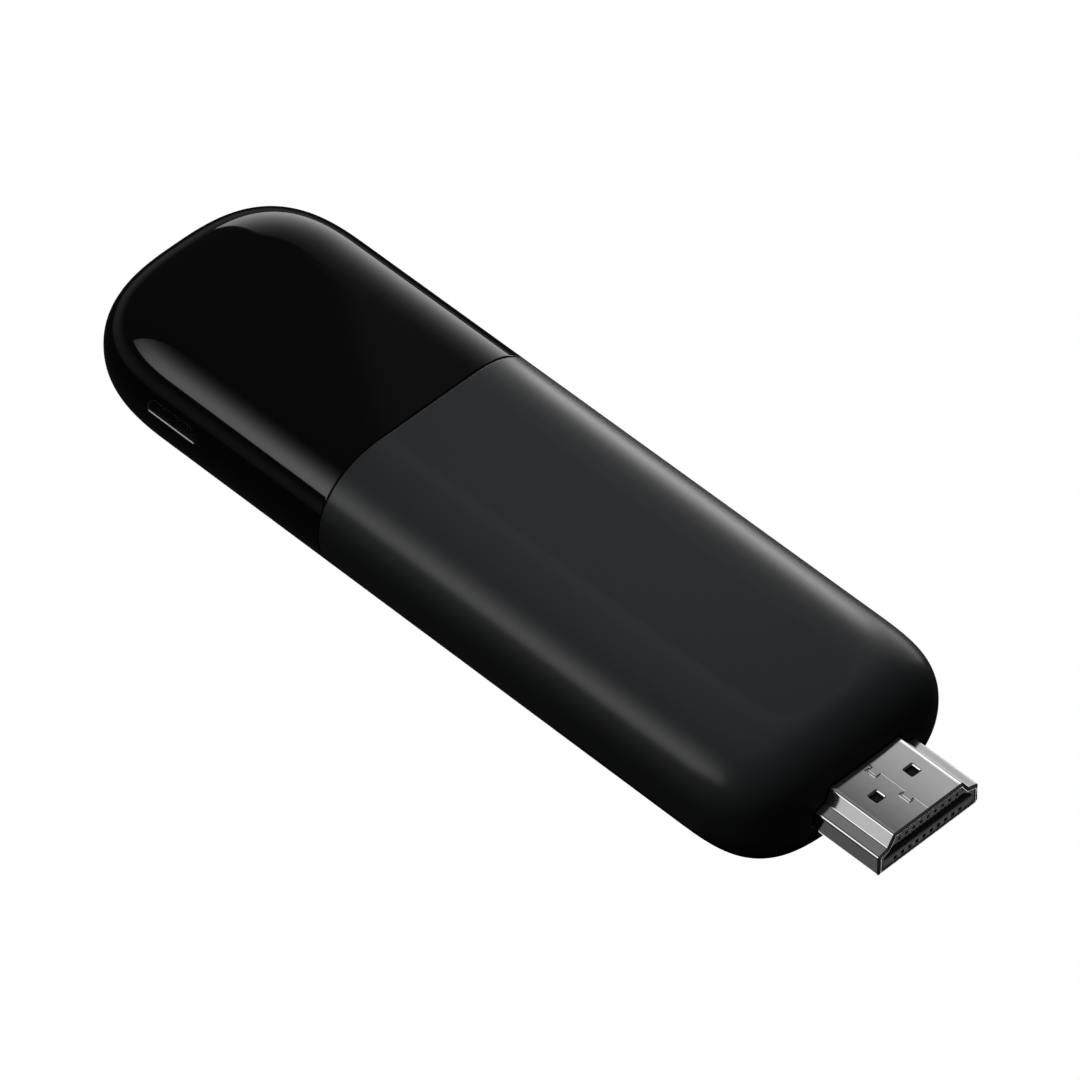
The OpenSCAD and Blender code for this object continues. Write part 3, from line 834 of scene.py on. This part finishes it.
@dataclass
class CasingHalf:
    """The sleeve or the cap: outer skin, inner skin, the opening, and the stepped edge at the seam."""

    node: str
    slot: str
    form: EndForm
    seam_back: float
    edge: Steps
    stations: tuple[float, ...]
    doorway: Doorway
    rows: int = 121
    turns: int = 181
    cross: int = 13
    layers: int = 10
    samples: int = 4001
    fillet_steps: int = 6
    level: Array = field(init=False)
    turn: Array = field(init=False)
    back: Array = field(init=False)

    def __post_init__(self) -> None:
        """Spreads the rows round the girth and the columns round the plan."""
        fine = np.linspace(-QUARTER, QUARTER, self.samples)
        girth = np.stack((self.form.half_width(fine, 0.0), self.form.height(fine, 0.0)), axis=1)
        self.level = spread(fine, girth, self.rows)
        plan = self.form.skin(np.zeros(1), fine, np.zeros_like(fine), 0.0)[0, :, :2]
        ring = spread(fine, plan, self.turns)
        ring[[0, -1]] = -QUARTER, QUARTER
        straight = np.array(sorted(self.stations, reverse=True))
        self.turn = np.concatenate((np.full(len(straight), -QUARTER), ring, np.full(len(straight), QUARTER)))
        self.back = np.concatenate((straight, np.zeros(len(ring)), straight[::-1]))

    def flat(self, row: Array) -> Array:
        """Joins each point of one row with its mirror across the casing.

        Args:
            row: columns by 3.

        Returns:
            Half the columns by cross steps by 3.
        """
        half = (len(row) + 1) // 2
        share = np.linspace(0, 1, self.cross)[None, :, None]
        return row[:half, None] * (1 - share) + row[::-1][:half, None] * share

    def girth(self, back: float, depth: float) -> Array:
        """Gives the closed loop round the casing.

        Args:
            back: distance back along the straight sides.
            depth: distance below the outer skin.

        Returns:
            n by 3.
        """
        ends = self.form.skin(self.level, np.array([-QUARTER, QUARTER]), np.array([back, back]), depth)
        share = np.linspace(0, 1, self.cross)[1:-1, None]
        over = ends[-1, 0] * (1 - share) + ends[-1, 1] * share
        under = ends[0, 1] * (1 - share) + ends[0, 0] * share
        return np.concatenate((ends[:, 0], over, ends[::-1, 1], under))

    def side(self, mesh: Mesh, depth: float, window: tuple[int, int, int, int], hole: Array) -> None:
        """Adds one skin with its flats, and the surface between the grid and the hole in it.

        Between the two the flat points go in straight lines and the surface height is worked out exactly.

        Args:
            mesh: the mesh to add to.
            depth: distance below the outer skin.
            window: the grid rectangle that the opening takes out.
            hole: the opening's edge, a flat point for each point round the window.
        """
        limit = self.seam_back + (self.edge[0][0] if depth else self.edge[-1][0])
        back = np.where(self.back == self.back.max(), limit, np.minimum(self.back, limit))
        skin = self.form.skin(self.level, self.turn, back, depth)
        keep = np.ones((skin.shape[0] - 1, skin.shape[1] - 1), bool)
        r0, r1, c0, c1 = window
        keep[r0:r1, c0:c1] = False
        mesh.sheet(skin, keep)
        mesh.sheet(self.flat(skin[-1]))
        mesh.sheet(self.flat(skin[0]))
        rim = skin[rim_of(window)]
        share = np.linspace(0, 1, self.layers)[:, None, None]
        flat = self.doorway.flatten(rim)[None] * (1 - share) + hole[None] * share
        patch = self.doorway.lift(self.form, flat, depth)
        patch[0] = rim
        mesh.tube(patch)

    def build(self) -> Object:
        """Builds the piece."""
        mesh = Mesh()
        outer = self.form.skin(self.level, self.turn, self.back, 0.0)
        window = self.doorway.window(outer)
        rim = self.doorway.flatten(outer[rim_of(window)])
        base = self.doorway.matched(rim)
        turns_left = np.sum(base[:, 0] * np.roll(base[:, 1], -1) - np.roll(base[:, 0], -1) * base[:, 1]) > 0
        way = outward(base) if turns_left else -outward(base)
        fillet = self.doorway.fillet
        self.side(mesh, 0.0, window, base + way * fillet)
        self.side(mesh, WALL, window, base)
        loops = []
        for angle in np.linspace(0, QUARTER, self.fillet_steps):
            level = self.doorway.lift(self.form, base + way * fillet * (1 - math.sin(angle)), 0.0)
            loops.append(self.doorway.push(self.form, level, fillet * (1 - math.cos(angle))))
        loops.append(self.doorway.lift(self.form, base, WALL))
        mesh.tube(loops)
        rings = [self.girth(self.seam_back + back, depth) for back, depth in self.edge]
        mesh.tube(rings)
        return mesh.build(f"{self.node}_skin", self.slot, [self.node], CASING_CREASE)


# ---------------- plug


@dataclass(frozen=True)
class PlugForm:
    """The outline of the video plug: wide side down, a ledge each side and a narrower top."""

    low_z: float
    wide_half: float = 6.95
    side_up: float = 2.66
    ledge_half: float = 5.65
    ledge_up: float = 3.07
    top_half: float = 4.77
    up: float = 4.45
    spacing: float = 0.35
    bends: tuple[float, ...] = (0.4, 0.4, 0.36, 0.3, 0.34, 0.34, 0.3, 0.36)

    def parts(self, inwards: float = 0.0) -> list[Array]:
        """Gives the outline in (y, z) as arcs and sides, starting at the lower -Y corner.

        Each side moves inwards by the same distance; outer bends get tighter by it and inner ones wider.
        Every distance gives the same number of points.
        """
        right = [
            [self.wide_half, 0.0],
            [self.wide_half, self.side_up],
            [self.ledge_half, self.ledge_up],
            [self.top_half, self.up],
        ]
        left = [[-y, z] for y, z in right[::-1]]
        corners = np.array([left[-1], *right, *left[:-1]]) + [0, self.low_z]
        ahead = np.roll(corners, -1, axis=0) - corners
        long = np.linalg.norm(ahead, axis=1, keepdims=True)
        after = np.stack((ahead[:, 1], -ahead[:, 0]), axis=1) / long
        before = np.roll(after, 1, axis=0)
        mitre = (after + before) / (1 + (after * before).sum(axis=1, keepdims=True))
        bend = np.array([1, 1, 1, -1, 1, 1, -1, 1])
        radii = np.maximum(np.array(self.bends) - bend * inwards, 0.03)
        counts = np.maximum(1, np.round(long[:, 0] / self.spacing)).astype(int).tolist()
        return filleted(corners - inwards * mitre, radii, self.spacing, 8, counts)

    def outline(self, inwards: float = 0.0) -> Array:
        """Gives the closed outline in (y, z), moved inwards by a distance."""
        return ring_of(self.parts(inwards))


@dataclass
class PlugShell:
    """The plug's folded sheet: sides, two broad faces with latch windows, a keyed seam and an inward lip."""

    form: PlugForm
    back_x: float
    tip_x: float
    nose_x: float
    sheet: float = 0.3
    window: float = 1.42
    window_from_tip: float = 4.7
    window_y: float = 2.45
    groove: float = 0.15
    faces_at: tuple[int, int] = (1, 9)
    window_edge: Steps = ((0.0, 0.0), (0.02, 0.01), (0.14, 0.13), (0.16, 0.17), (0.165, 0.3))
    groove_edge: Steps = ((0.0, 0.0), (0.008, 0.004), (0.06, 0.06), (0.065, 0.12))
    lip: Steps = (
        *((0.0, -0.2), (0.0, -0.165), (0.012, -0.15), (0.3, -0.03), (0.315, -0.012), (0.33, -0.003)),
        *((0.42, 0.0), (0.435, -0.01), (0.443, -0.03), (0.443, -0.5), (0.4, -0.6), (0.3, -0.65)),
    )
    border: float = 0.03
    behind_nose: float = 0.6
    seam_behind_nose: float = 0.4
    neck: float = 0.38
    head: float = 0.84
    keys: tuple[tuple[float, float, float, float], ...] = ((0.70, 1.86, 0.52, 1.96), (5.10, 6.32, 4.95, 6.47))

    def stations(self) -> Array:
        """Gives the places along x where the sheet has points."""
        shown = np.linspace(self.nose_x - self.behind_nose, self.tip_x + self.lip[0][1], 30)
        return np.concatenate(([self.back_x, 0.5 * (self.back_x + self.nose_x)], shown))

    def seam(self) -> Array:
        """Gives the closed outline of the seam groove in (x, y): a line with two keys to one side."""
        line = [[self.nose_x - self.seam_behind_nose, 0.0]]
        for neck0, neck1, head0, head1 in self.keys:
            places = (neck0, neck0, head0, head0, head1, head1, neck1, neck1)
            steps = zip(places, (0, 1, 1, 2, 2, 1, 1, 0))
            line += [[self.nose_x + x, (0.0, -self.neck, -self.head)[level]] for x, level in steps]
        line.append([self.tip_x + self.lip[0][1] - 0.02, 0.0])
        path = np.array(line)
        ahead = np.diff(path, axis=0)
        ahead /= np.linalg.norm(ahead, axis=1, keepdims=True)
        first = np.concatenate((ahead[:1], ahead))
        second = np.concatenate((ahead, ahead[-1:]))
        normal = np.stack((-first[:, 1] - second[:, 1], first[:, 0] + second[:, 0]), axis=1)
        normal *= self.groove / 2 / (1 + (first * second).sum(axis=1))[:, None]
        return np.concatenate((path - normal, (path + normal)[::-1]))

    def windows(self, shrink: float = 0.0) -> list[Array]:
        """Gives the outlines of the latch windows in (x, y).

        Args:
            shrink: how far each comes in all round.

        Returns:
            The two outlines.
        """
        x = self.tip_x - self.window_from_tip
        boxes = [rounded_box((x, y), [self.window] * 2, 0.2) for y in (-self.window_y, self.window_y)]
        return [grown(box, -shrink) for box in boxes]

    def face(self, mesh: Mesh, runs: tuple[Array, Array], inner: bool, cuts: Sequence[Cut]) -> None:
        """Adds one side of a broad face.

        Args:
            mesh: the mesh to add to.
            runs: the face's outer and inner lines in (y, z).
            inner: True for the side that faces the insert.
            cuts: windows and grooves in (x, y).
        """
        lines = [run[np.argsort(run[:, 0])] for run in runs]
        y = lines[inner][:, 0]
        x = self.stations()
        near, far = (np.stack((x, np.full_like(x, end)), axis=1) for end in (y[0], y[-1]))
        front, rear = (np.stack((np.full_like(y, end), y), axis=1)[1:-1] for end in (x[-1], x[0]))
        outer = np.concatenate((near, front, far[::-1], rear[::-1]))

        def place(points: Array, deep: float) -> Array:
            """Puts flat points at a depth in the sheet, between its outer and its inner line."""
            heights = [np.interp(points[:, 1], line[:, 0], line[:, 1]) for line in lines]
            share = deep / self.sheet
            return np.column_stack((points, heights[0] * (1 - share) + heights[1] * share))

        if inner:
            flat, faces = filled(outer, self.windows(self.window_edge[-1][0]))
            mesh.triangles(place(flat, self.sheet), faces)
            return
        rings = [grown(cut.outline, self.border) for cut in cuts]
        flat, faces = filled(outer, [cut.outline for cut in cuts], FACE_SPACING, rings)
        mesh.triangles(place(flat, 0.0), faces)
        for cut in cuts:
            cut.add_to(mesh, place)

    def build(self) -> Object:
        """Builds the piece."""
        mesh = Mesh()
        parts = self.form.parts()
        x = self.stations()
        ring = ring_of(parts)
        inner_parts = self.form.parts(self.sheet)
        inner_ring = ring_of(inner_parts)
        for side in (parts, inner_parts):
            for k, part in enumerate(side):
                if k not in self.faces_at:
                    mesh.sheet(np.stack([lifted(part, 0, a) for a in x]))
        windows = [Cut(box, self.window_edge, False) for box in self.windows()]
        seam = Cut(self.seam(), self.groove_edge, True)
        slots = []
        for _, _, head0, head1 in self.keys:
            middle = (self.nose_x + (head0 + head1) / 2, -(self.neck + self.head) / 2 + 0.01)
            slot = rounded_box(middle, (head1 - head0 - 0.26, 0.24), 0.07, 3)
            slots.append(Cut(slot, self.groove_edge, True))
        for k, cuts in zip(self.faces_at, (windows, [*windows, seam, *slots])):
            for inner in (False, True):
                self.face(mesh, (parts[k], inner_parts[k]), inner, cuts)
        loops = [lifted(self.form.outline(o), 0, self.tip_x + a) for o, a in self.lip]
        loops.append(lifted(inner_ring, 0, x[-1]))
        mesh.tube(loops)
        ends = [lifted(edge, 0, x[0]) for edge in (ring, inner_ring)]
        mesh.tube(ends)
        return mesh.build("plug_shell_sheet", "plug_metal", ["plug_shell"], FOLD_CREASE)


@dataclass
class PlugInsert:
    """The moulded block in the plug: two bars with a slot between them and square core holes in both."""

    form: PlugForm
    front_x: float
    back_x: float
    clear: float = 0.446
    slot_right: Steps = ((6.1, 1.68), (6.12, 1.86), (4.95, SLOT_CEILING))
    slot_radii: tuple[float, ...] = (0.05, 0.05, 0.05, 0.3, 0.3, 0.05)
    slot_deep: float = 8.5
    pitch: float = 0.995
    hole_rows: tuple[tuple[int, float, float, float], ...] = ((10, 0.92, 0.46, 0.52), (9, 3.3, 0.4, 0.38))

    def build(self) -> Object:
        """Builds the piece."""
        mesh = Mesh()
        ring, edge, front = (self.form.outline(self.clear + more) for more in (0.0, 0.008, 0.03))
        slot_edge = ((0.0, 0.0), (0.02, 0.01), (0.04, 0.04), (0.04, self.slot_deep))
        right = np.array(self.slot_right)
        left = right[::-1] * [-1, 1]
        corners = np.concatenate((left[-1:], right, left[:-1])) + [0, self.form.low_z]
        slot = ring_of(filleted(corners, np.array(self.slot_radii), FACE_SPACING, 4))
        cuts = [Cut(slot, slot_edge, True)]
        hole_edge = ((0.0, 0.0), (0.02, 0.03), (0.03, 0.7))
        for count, up, wide, tall in self.hole_rows:
            for y in (np.arange(count) - (count - 1) / 2) * self.pitch:
                outline = rounded_box((y, self.form.low_z + up), (wide, tall), 0.05, 2)
                cuts.append(Cut(outline, hole_edge, True))

        def place(points: Array, deep: float) -> Array:
            """Puts flat points on the front at a depth behind it."""
            return lifted(points, 0, self.front_x - deep)

        flat, faces = filled(front, [cut.outline for cut in cuts])
        mesh.triangles(place(flat, 0.0), faces)
        for cut in cuts:
            cut.add_to(mesh, place)
        long = self.front_x - self.back_x
        profile = ((front, 0.0), (edge, 0.01), (ring, 0.035), (ring, long))
        mesh.tube([place(loop, deep) for loop, deep in profile])
        back, back_faces = filled(ring)
        mesh.triangles(place(back, long), back_faces)
        return mesh.build("plug_insert_block", "insert_plastic", ["plug_insulator"], FOLD_CREASE)


@dataclass
class ContactRow:
    """A row of plug contacts: flat springs with a rounded, lifted nose."""

    name: str
    replaces: list[str]
    count: int
    low_z: float
    high_z: float
    front_x: float
    back_x: float
    facing: float
    pitch: float = 1.0
    wide: float = 0.3
    slot: str = "contact_metal"
    rim: float = 0.03

    def build(self) -> Object:
        """Builds the row.

        Each spring's section is swept along x; its nose follows a quarter wave down into the slot floor.
        """
        mesh = Mesh()
        x = self.front_x - np.array([0.0, 0.03, 0.1, 0.2, 0.35, 0.6, 1.0, self.front_x - self.back_x])
        nose = np.array([0.0, 0.045, 0.08, 0.1, 0.1, 0.1, 0.1, 0.1])
        thick = self.high_z - self.low_z
        middle = self.low_z if self.facing > 0 else self.high_z
        side = np.array([0.09, 0.13, 0.15, 0.15, 0.15, 0.15, 0.15, 0.15]) * self.wide / 0.3
        for y in (np.arange(self.count) - (self.count - 1) / 2) * self.pitch:
            top = middle + self.facing * (thick - 0.1 + nose)
            low = np.full_like(top, middle)
            section = [
                (y - side, low),
                (y - side, top - self.facing * self.rim),
                (y - side + self.rim, top),
                (y + side - self.rim, top),
                (y + side, top - self.facing * self.rim),
                (y + side, low),
            ]
            points = np.stack([np.stack((x, across, up), axis=1) for across, up in section], axis=1)
            mesh.sheet(points, closed=True)
            mesh.fan(points[0])
            mesh.fan(points[-1])
        return mesh.build(self.name, self.slot, self.replaces)


# ---------------- power inlet


@dataclass
class InletShell:
    """The drawn metal mouth of the power inlet: a tube with rounded rims and a closed back."""

    outline: Array
    mouth_y: float
    back_y: float
    sheet: float = 0.25

    def build(self) -> Object:
        """Builds the piece."""
        mesh = Mesh()
        r = self.sheet / 2
        angle = np.linspace(0, math.pi, 9)
        rim = [(r + r * math.cos(a), r - r * math.sin(a)) for a in angle]
        long = self.back_y - self.mouth_y
        profile = [(self.sheet, long), *rim, (0.0, long - self.sheet)]
        loops = []
        for offset, deep in profile:
            loops.append(lifted(grown(self.outline, offset), 1, self.mouth_y + deep))
        mesh.tube(loops)
        mesh.fan(loops[0])
        mesh.fan(loops[-1])
        return mesh.build("inlet_shell_sheet", "socket_metal", ["socket_shell"], FOLD_CREASE)


@dataclass
class InletRim:
    """A thin bright collar that lines the inlet's window, from just inside the skin to the mouth."""

    outline: Array
    surface: Callable[[Array], Array]
    mouth_y: float
    lip: Steps = ((-0.01, 0.08), (-0.014, 0.05), (-0.024, 0.05), (-0.1, 0.13), (-0.11, 0.17))

    def build(self) -> Object:
        """Builds the piece."""
        mesh = Mesh()
        start = self.surface(self.outline)
        loops = []
        for by, deep in self.lip:
            loops.append(lifted(grown(self.outline, by), 1, start[:, 1] + deep))
        inner, outer = loops[-1].copy(), loops[0].copy()
        inner[:, 1] = outer[:, 1] = self.mouth_y
        mesh.tube([outer, *loops, inner, outer])
        return mesh.build("inlet_rim_collar", "socket_metal", [], FOLD_CREASE)


# ---------------- stage


def direction(azimuth: Array | float, elevation: Array | float) -> Array:
    """Gives unit vectors for directions in degrees: azimuth 0 looks from -Y and turns towards +X."""
    a, e = np.radians(azimuth), np.radians(elevation)
    return np.stack((np.sin(a) * np.cos(e), -np.cos(a) * np.cos(e), np.sin(e)), axis=-1)


@dataclass(frozen=True)
class Softbox:
    """A soft light far away, given by the directions it covers, in degrees.

    Brightness falls off upwards from its lower edge and sideways from its brightest direction,
    both as a bell curve.
    """

    name: str
    azimuth: tuple[float, float]
    low: tuple[float, float]
    high: tuple[float, float]
    lean: float
    peak: float
    up_spread: float
    bright_azimuth: float
    side_spread: float
    peak_rise: float = 0.0
    distance: float = 900.0
    columns: int = 41
    rows: int = 61

    def build(self) -> Object:
        """Builds the light's panel as part of the stage."""
        across = np.linspace(0, 1, self.columns)[None, :]
        up = np.linspace(0, 1, self.rows)[:, None]
        low = self.low[0] * (1 - across) + self.low[1] * across
        high = self.high[0] * (1 - across) + self.high[1] * across
        elevation = low * (1 - up) + high * up
        azimuth = self.azimuth[0] * (1 - across) + self.azimuth[1] * across + self.lean * up
        rise = elevation - low
        glow = self.peak * np.exp(-0.5 * ((rise - self.peak_rise) / self.up_spread) ** 2)
        glow = glow * np.exp(-0.5 * ((azimuth - self.bright_azimuth) / self.side_spread) ** 2)
        points = self.distance * direction(azimuth, elevation)
        return lamp(self.name, points, ("camera", "shadow"), glow)[0]


def lamp(
    name: str, points: Array, hidden_from: Sequence[str], glow: Array | None = None
) -> tuple[Object, Graph]:
    """Puts a grid of points on the stage as a black panel that shines.

    Args:
        name: the panel's name.
        points: rows by columns by 3, in millimetres.
        hidden_from: the kinds of ray that don't see it.
        glow: rows by columns of brightness, or None for plain white.

    Returns:
        The panel and the nodes of its material.
    """
    mesh = Mesh()
    mesh.sheet(points)
    data = bpy.data.meshes.new(name)
    data.from_pydata((mesh.points[0] * MM).tolist(), [], mesh.faces)
    graph = Graph(name)
    shine = (1, 1, 1, 1)
    if glow is not None:
        layer = data.color_attributes.new("glow", "FLOAT_COLOR", "POINT")
        layer.data.foreach_set("color", np.repeat(glow.reshape(-1, 1), 4, axis=1).ravel())
        shine = graph.add("ShaderNodeAttribute", {"attribute_name": "glow"}, {}, "Color")
    graph.set(Base_Color=(0, 0, 0, 1), Roughness=1.0, Specular_IOR_Level=0.0)
    graph.set(Emission_Color=shine, Emission_Strength=1.0)
    data.materials.append(graph.material)
    panel = placed(name, data)
    for ray in hidden_from:
        setattr(panel, f"visible_{ray}", False)
    return panel, graph


@dataclass(frozen=True)
class Card:
    """A small flat reflector that lights only some pieces, brighter towards its far edge."""

    name: str
    lights: tuple[str, ...]
    corner: tuple[float, float, float]
    across: tuple[float, float, float]
    up: tuple[float, float, float]
    glow: tuple[float, float]
    soft: bool = False

    def build(self) -> Object:
        """Builds the card as part of the stage."""
        u = np.linspace(0, 1, 3)[None, :, None]
        v = np.linspace(0, 1, 9)[:, None, None]
        points = np.array(self.corner) + u * np.array(self.across) + v * np.array(self.up)
        glow = self.glow[0] + (self.glow[1] - self.glow[0]) * v[..., 0] + 0 * u[..., 0]
        panel = lamp(self.name, points, ("camera", "shadow"), glow)[0]
        lit = bpy.data.collections.new(self.name + "_lights")
        for name in self.lights:
            lit.objects.link(bpy.data.objects[name])
        panel.light_linking.receiver_collection = lit
        panel.visible_diffuse = self.soft
        panel.visible_glossy = not self.soft
        return panel


@dataclass(frozen=True)
class Studio:
    """The pale floor, the dim surroundings, the soft lights and the camera."""

    target: tuple[float, float, float] = (-1.06, 1.26, 6.24)
    azimuth: float = 45.344
    elevation: float = 46.349
    distance: float = 1107.29
    lens: float = 373.93
    sensor: float = 36.0
    clip: tuple[float, float] = (0.05, 200.0)
    floor_half: float = 40000.0
    floor_drop: float = 0.1

    def build(self) -> None:
        """Builds the whole stage."""
        self.floor()
        self.surroundings()
        for light in (*SOFTBOXES, *CARDS):
            light.build()
        self.camera()
        scene = bpy.context.scene
        scene.view_settings.view_transform = "Standard"
        scene.view_settings.look = "None"

    def floor(self) -> None:
        """Lays a white floor just under the object, clear from below, that reflections don't see."""
        half = self.floor_half
        corners = np.array([[(x, y, -self.floor_drop) for y in (-half, half)] for x in (-half, half)])
        graph = lamp("studio_floor", corners, ("glossy", "diffuse", "shadow"))[1]
        graph.set(Alpha=1 - graph.add("ShaderNodeNewGeometry", {}, {}, "Backfacing"))

    def surroundings(self) -> None:
        """Lights the world dimly by height, and shows plain white behind the object."""
        world = bpy.data.worlds.new("studio_room")
        bpy.context.scene.world = world
        graph = Nodes(world, "ShaderNodeOutputWorld")
        way = graph.add("ShaderNodeTexCoord", {}, {}, "Generated")
        height = graph.add("ShaderNodeSeparateXYZ", {}, {0: way}, "Z")
        share = graph.add("ShaderNodeMapRange", {}, {0: height, "From Min": -1.0}, 0)
        stops = [(0.5 + 0.5 * math.sin(math.radians(elevation)), glow) for elevation, glow in ROOM_LIGHT]
        dim = graph.add("ShaderNodeValToRGB", {"stops": stops}, {0: share}, "Color")
        room, white = (graph.add("ShaderNodeBackground", {}, {"Color": c}, 0) for c in (dim, (1, 1, 1, 1)))
        seen = graph.add("ShaderNodeLightPath", {}, {}, "Is Camera Ray")
        graph.feed(graph.surface, graph.add("ShaderNodeMixShader", {}, {0: seen, 1: room, 2: white}, 0))

    def camera(self) -> None:
        """Places the camera and makes it the scene's."""
        data = bpy.data.cameras.new("studio_camera")
        data.lens = self.lens
        data.sensor_width = self.sensor
        data.clip_start, data.clip_end = self.clip
        camera = placed("studio_camera", data)
        back = Vector(direction(self.azimuth, self.elevation))
        camera.location = (Vector(self.target) + back * self.distance) * MM
        camera.rotation_euler = back.to_track_quat("Z", "Y").to_euler()
        bpy.context.scene.camera = camera


SOFTBOXES = (
    Softbox("softbox_rear", (-119, -175), (4, -16), (52, 40), -15, 2, 17, -138, 30),
    Softbox("softbox_front", (-57, -8), (15, 12), (62, 60), 0, 2.1, 13, -28, 18, 7),
    Softbox("low_strip", (-170, -12), (-16, -14), (3, 11), 0, 0.12, 8, -90, 90, 9, 1000),
)
PLUG = ("plug_shell_sheet", "plug_insert_block", "plug_insert_ribs")
SLEEVE = ("front_sleeve_skin",)
CARDS = (
    Card("top_card", PLUG, (-6, 42, 84), (22, 0, 0), (0, 10.8, -3), (0.03, 0.6)),
    Card("edge_card", PLUG, (-6, 54.4, 81), (22, 0, 0), (0, 9, -2), (1.5, 1.6)),
    Card("ledge_card", PLUG, (-6, -25, 92), (22, 0, 0), (0, 67, -8), (0.2, 0.26)),
    Card("slant_card", PLUG, (12, -62, 8), (22, 0, 0), (0, 0, 22), (0.65, 0.65)),
    Card("side_card", PLUG, (31, -24, -8), (16, 0, 0), (0, 10.2, 0), (0.1, 0.1)),
    Card("bend_card", PLUG, (10, -13.7, -8), (38, 0, 0), (0, 34, 0), (1.3, 1.3)),
    Card("tip_card", PLUG, (60.5, 1, -8), (8, 0, 0), (0, 20, 0), (1.1, 1.1)),
    Card("far_card", SLEEVE, (-44, 62, 13), (52, 0, 5), (0, 0, 32), (5, 0.4)),
    Card("top_fill", SLEEVE, (-36, -30, 120), (60, 0, 0), (0, 60, 0), (11, 11), True),
    Card("tip_fill", PLUG, (66, -12, -6), (0, 24, 0), (8, 0, 20), (0.6, 0.6), True),
)
ROOM_LIGHT = ((-90, 0.012), (-46, 0.012), (-38, 0.01), (-20, 0.01), (12, 0.03), (90, 0.05))


# ---------------- the object


def casing_halves(boxes: dict[str, tuple[Vector, Vector]]) -> tuple[CasingHalf, CasingHalf]:
    """Works out the sleeve and the cap from the CAD boxes.

    Each seam edge runs from the inner skin to the outer one, as (towards the seam, deep) steps.

    Args:
        boxes: the CAD nodes' boxes, in metres.

    Returns:
        The sleeve and the cap.
    """
    (sleeve_low, sleeve_high), (cap_low, cap_high) = boxes["front_sleeve"], boxes["rear_cap"]
    seam = sleeve_low.x / MM
    tongue = cap_high.x / MM - seam
    width, thick = (sleeve_high.y - sleeve_low.y) / MM, (sleeve_high.z - sleeve_low.z) / MM
    common = {"width": width, "thick": thick, "edge_in": 8.5, "edge_n": 2.18}
    nose = EndForm(sleeve_high.x / MM - NOSE_DEEP, 1.0, NOSE_DEEP, 5.5, 3.55, **common)
    rear = EndForm(cap_low.x / MM + REAR_DEEP, -1.0, REAR_DEEP, 8.5, 2.83, **common)
    sleeve_back, cap_back = nose.middle_x - seam, seam - rear.middle_x
    sleeve_rim = ((0.0, 0.92), (0.0, 0.1), (0.015, 0.045), (0.045, 0.015), (0.1, 0.0))
    cap_rim = ((0.0, 0.95), (0.0, 0.07), (0.01, 0.03), (0.03, 0.01), (0.07, 0.0))
    sleeve_rim, cap_rim = ([(-GAP - back, deep) for back, deep in rim] for rim in (sleeve_rim, cap_rim))
    sleeve_edge = ((-tongue - 0.1, WALL), (-tongue - 0.1, 0.92), *sleeve_rim)
    cap_edge = ((tongue, WALL), (tongue, 1.05), (tongue - 0.1, 0.95), *cap_rim)
    sleeve_stations = tuple(sleeve_back - GAP - np.array([0.1, 0.25, 0.6, 1.5, 4.0, 10.0, 20.0, 35.0]))
    near_seam = cap_back - GAP - np.array([0.07, 0.2, 0.6, 1.5, 4.0])
    cap_stations = (*near_seam, *np.linspace(0.5, 9.0, 18), 12.0, 15.0)
    slot = Doorway("y", PlugForm(PLUG_LOW_Z).outline(-0.15), (1.6, 0.9), 0.1)
    port = Doorway("x", inlet_outline(), (1.1, 0.75), 0.16)
    return (
        CasingHalf("front_sleeve", "matte_casing", nose, sleeve_back, sleeve_edge, sleeve_stations, slot),
        CasingHalf("rear_cap", "gloss_casing", rear, cap_back, cap_edge, cap_stations, port),
    )


def inlet_outline() -> Array:
    """Gives the power inlet's window in (x, z): wide side down, upper corners cut off."""
    half, up, cut, shoulder = 3.45, 0.925, 0.8, 0.1
    right = [[half, -up], [half, shoulder], [half - cut, up]]
    corners = np.array([[-half, -up], *right, [cut - half, up], [-half, shoulder]]) + [INLET_X, INLET_Z]
    return ring_of(filleted(corners, np.array([0.25, 0.25, 0.4, 0.4, 0.4, 0.4]), BOX_SPACING, 6))


def main() -> None:
    """Builds the stage and every piece."""
    logging.basicConfig(level=logging.INFO, format="%(message)s")
    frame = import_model()
    wardrobe = Wardrobe()
    slots = {part["node"]: part["material_slot"] for part in frame["record"]["subparts"]}
    for name, node in frame["nodes"].items():
        wardrobe.dress(node, slots[name])
    boxes = {name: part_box(name) for name in frame["nodes"]}
    sleeve, cap = casing_halves(boxes)
    low, high = (corner / MM for corner in boxes["plug_shell"])
    plug = PlugForm(low.z)
    insert_low, insert_high = (corner / MM for corner in boxes["plug_insulator"])
    pieces = [
        sleeve.build(),
        cap.build(),
        PlugShell(plug, low.x, high.x, boxes["front_sleeve"][1].x / MM).build(),
        PlugInsert(plug, insert_high.x, insert_low.x).build(),
    ]
    ceiling = plug.low_z + SLOT_CEILING
    for label, count, facing in (("plug_contacts_wide", 10, 1.0), ("plug_contacts_narrow", 9, -1.0)):
        start, end = (corner / MM for corner in boxes[label])
        row = ContactRow(f"{label}_springs", [label], count, start.z, end.z, end.x, start.x, facing)
        pieces.append(row.build())
    span = (ceiling - 0.5, ceiling, high.x - 0.25, high.x - 5)
    ribs = ContactRow("plug_insert_ribs", [], 18, *span, -1.0, 0.5, 0.2, "insert_plastic")
    mouth, back = (corner.y / MM for corner in boxes["socket_shell"])
    rim = InletRim(inlet_outline(), lambda flat: cap.doorway.lift(cap.form, flat, 0.0), mouth)
    pieces += [ribs.build(), InletShell(inlet_outline(), mouth, back).build(), rim.build()]
    for piece in pieces:
        wardrobe.dress(piece, piece["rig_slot"])
    Studio().build()


if __name__ == "__main__":
    main()
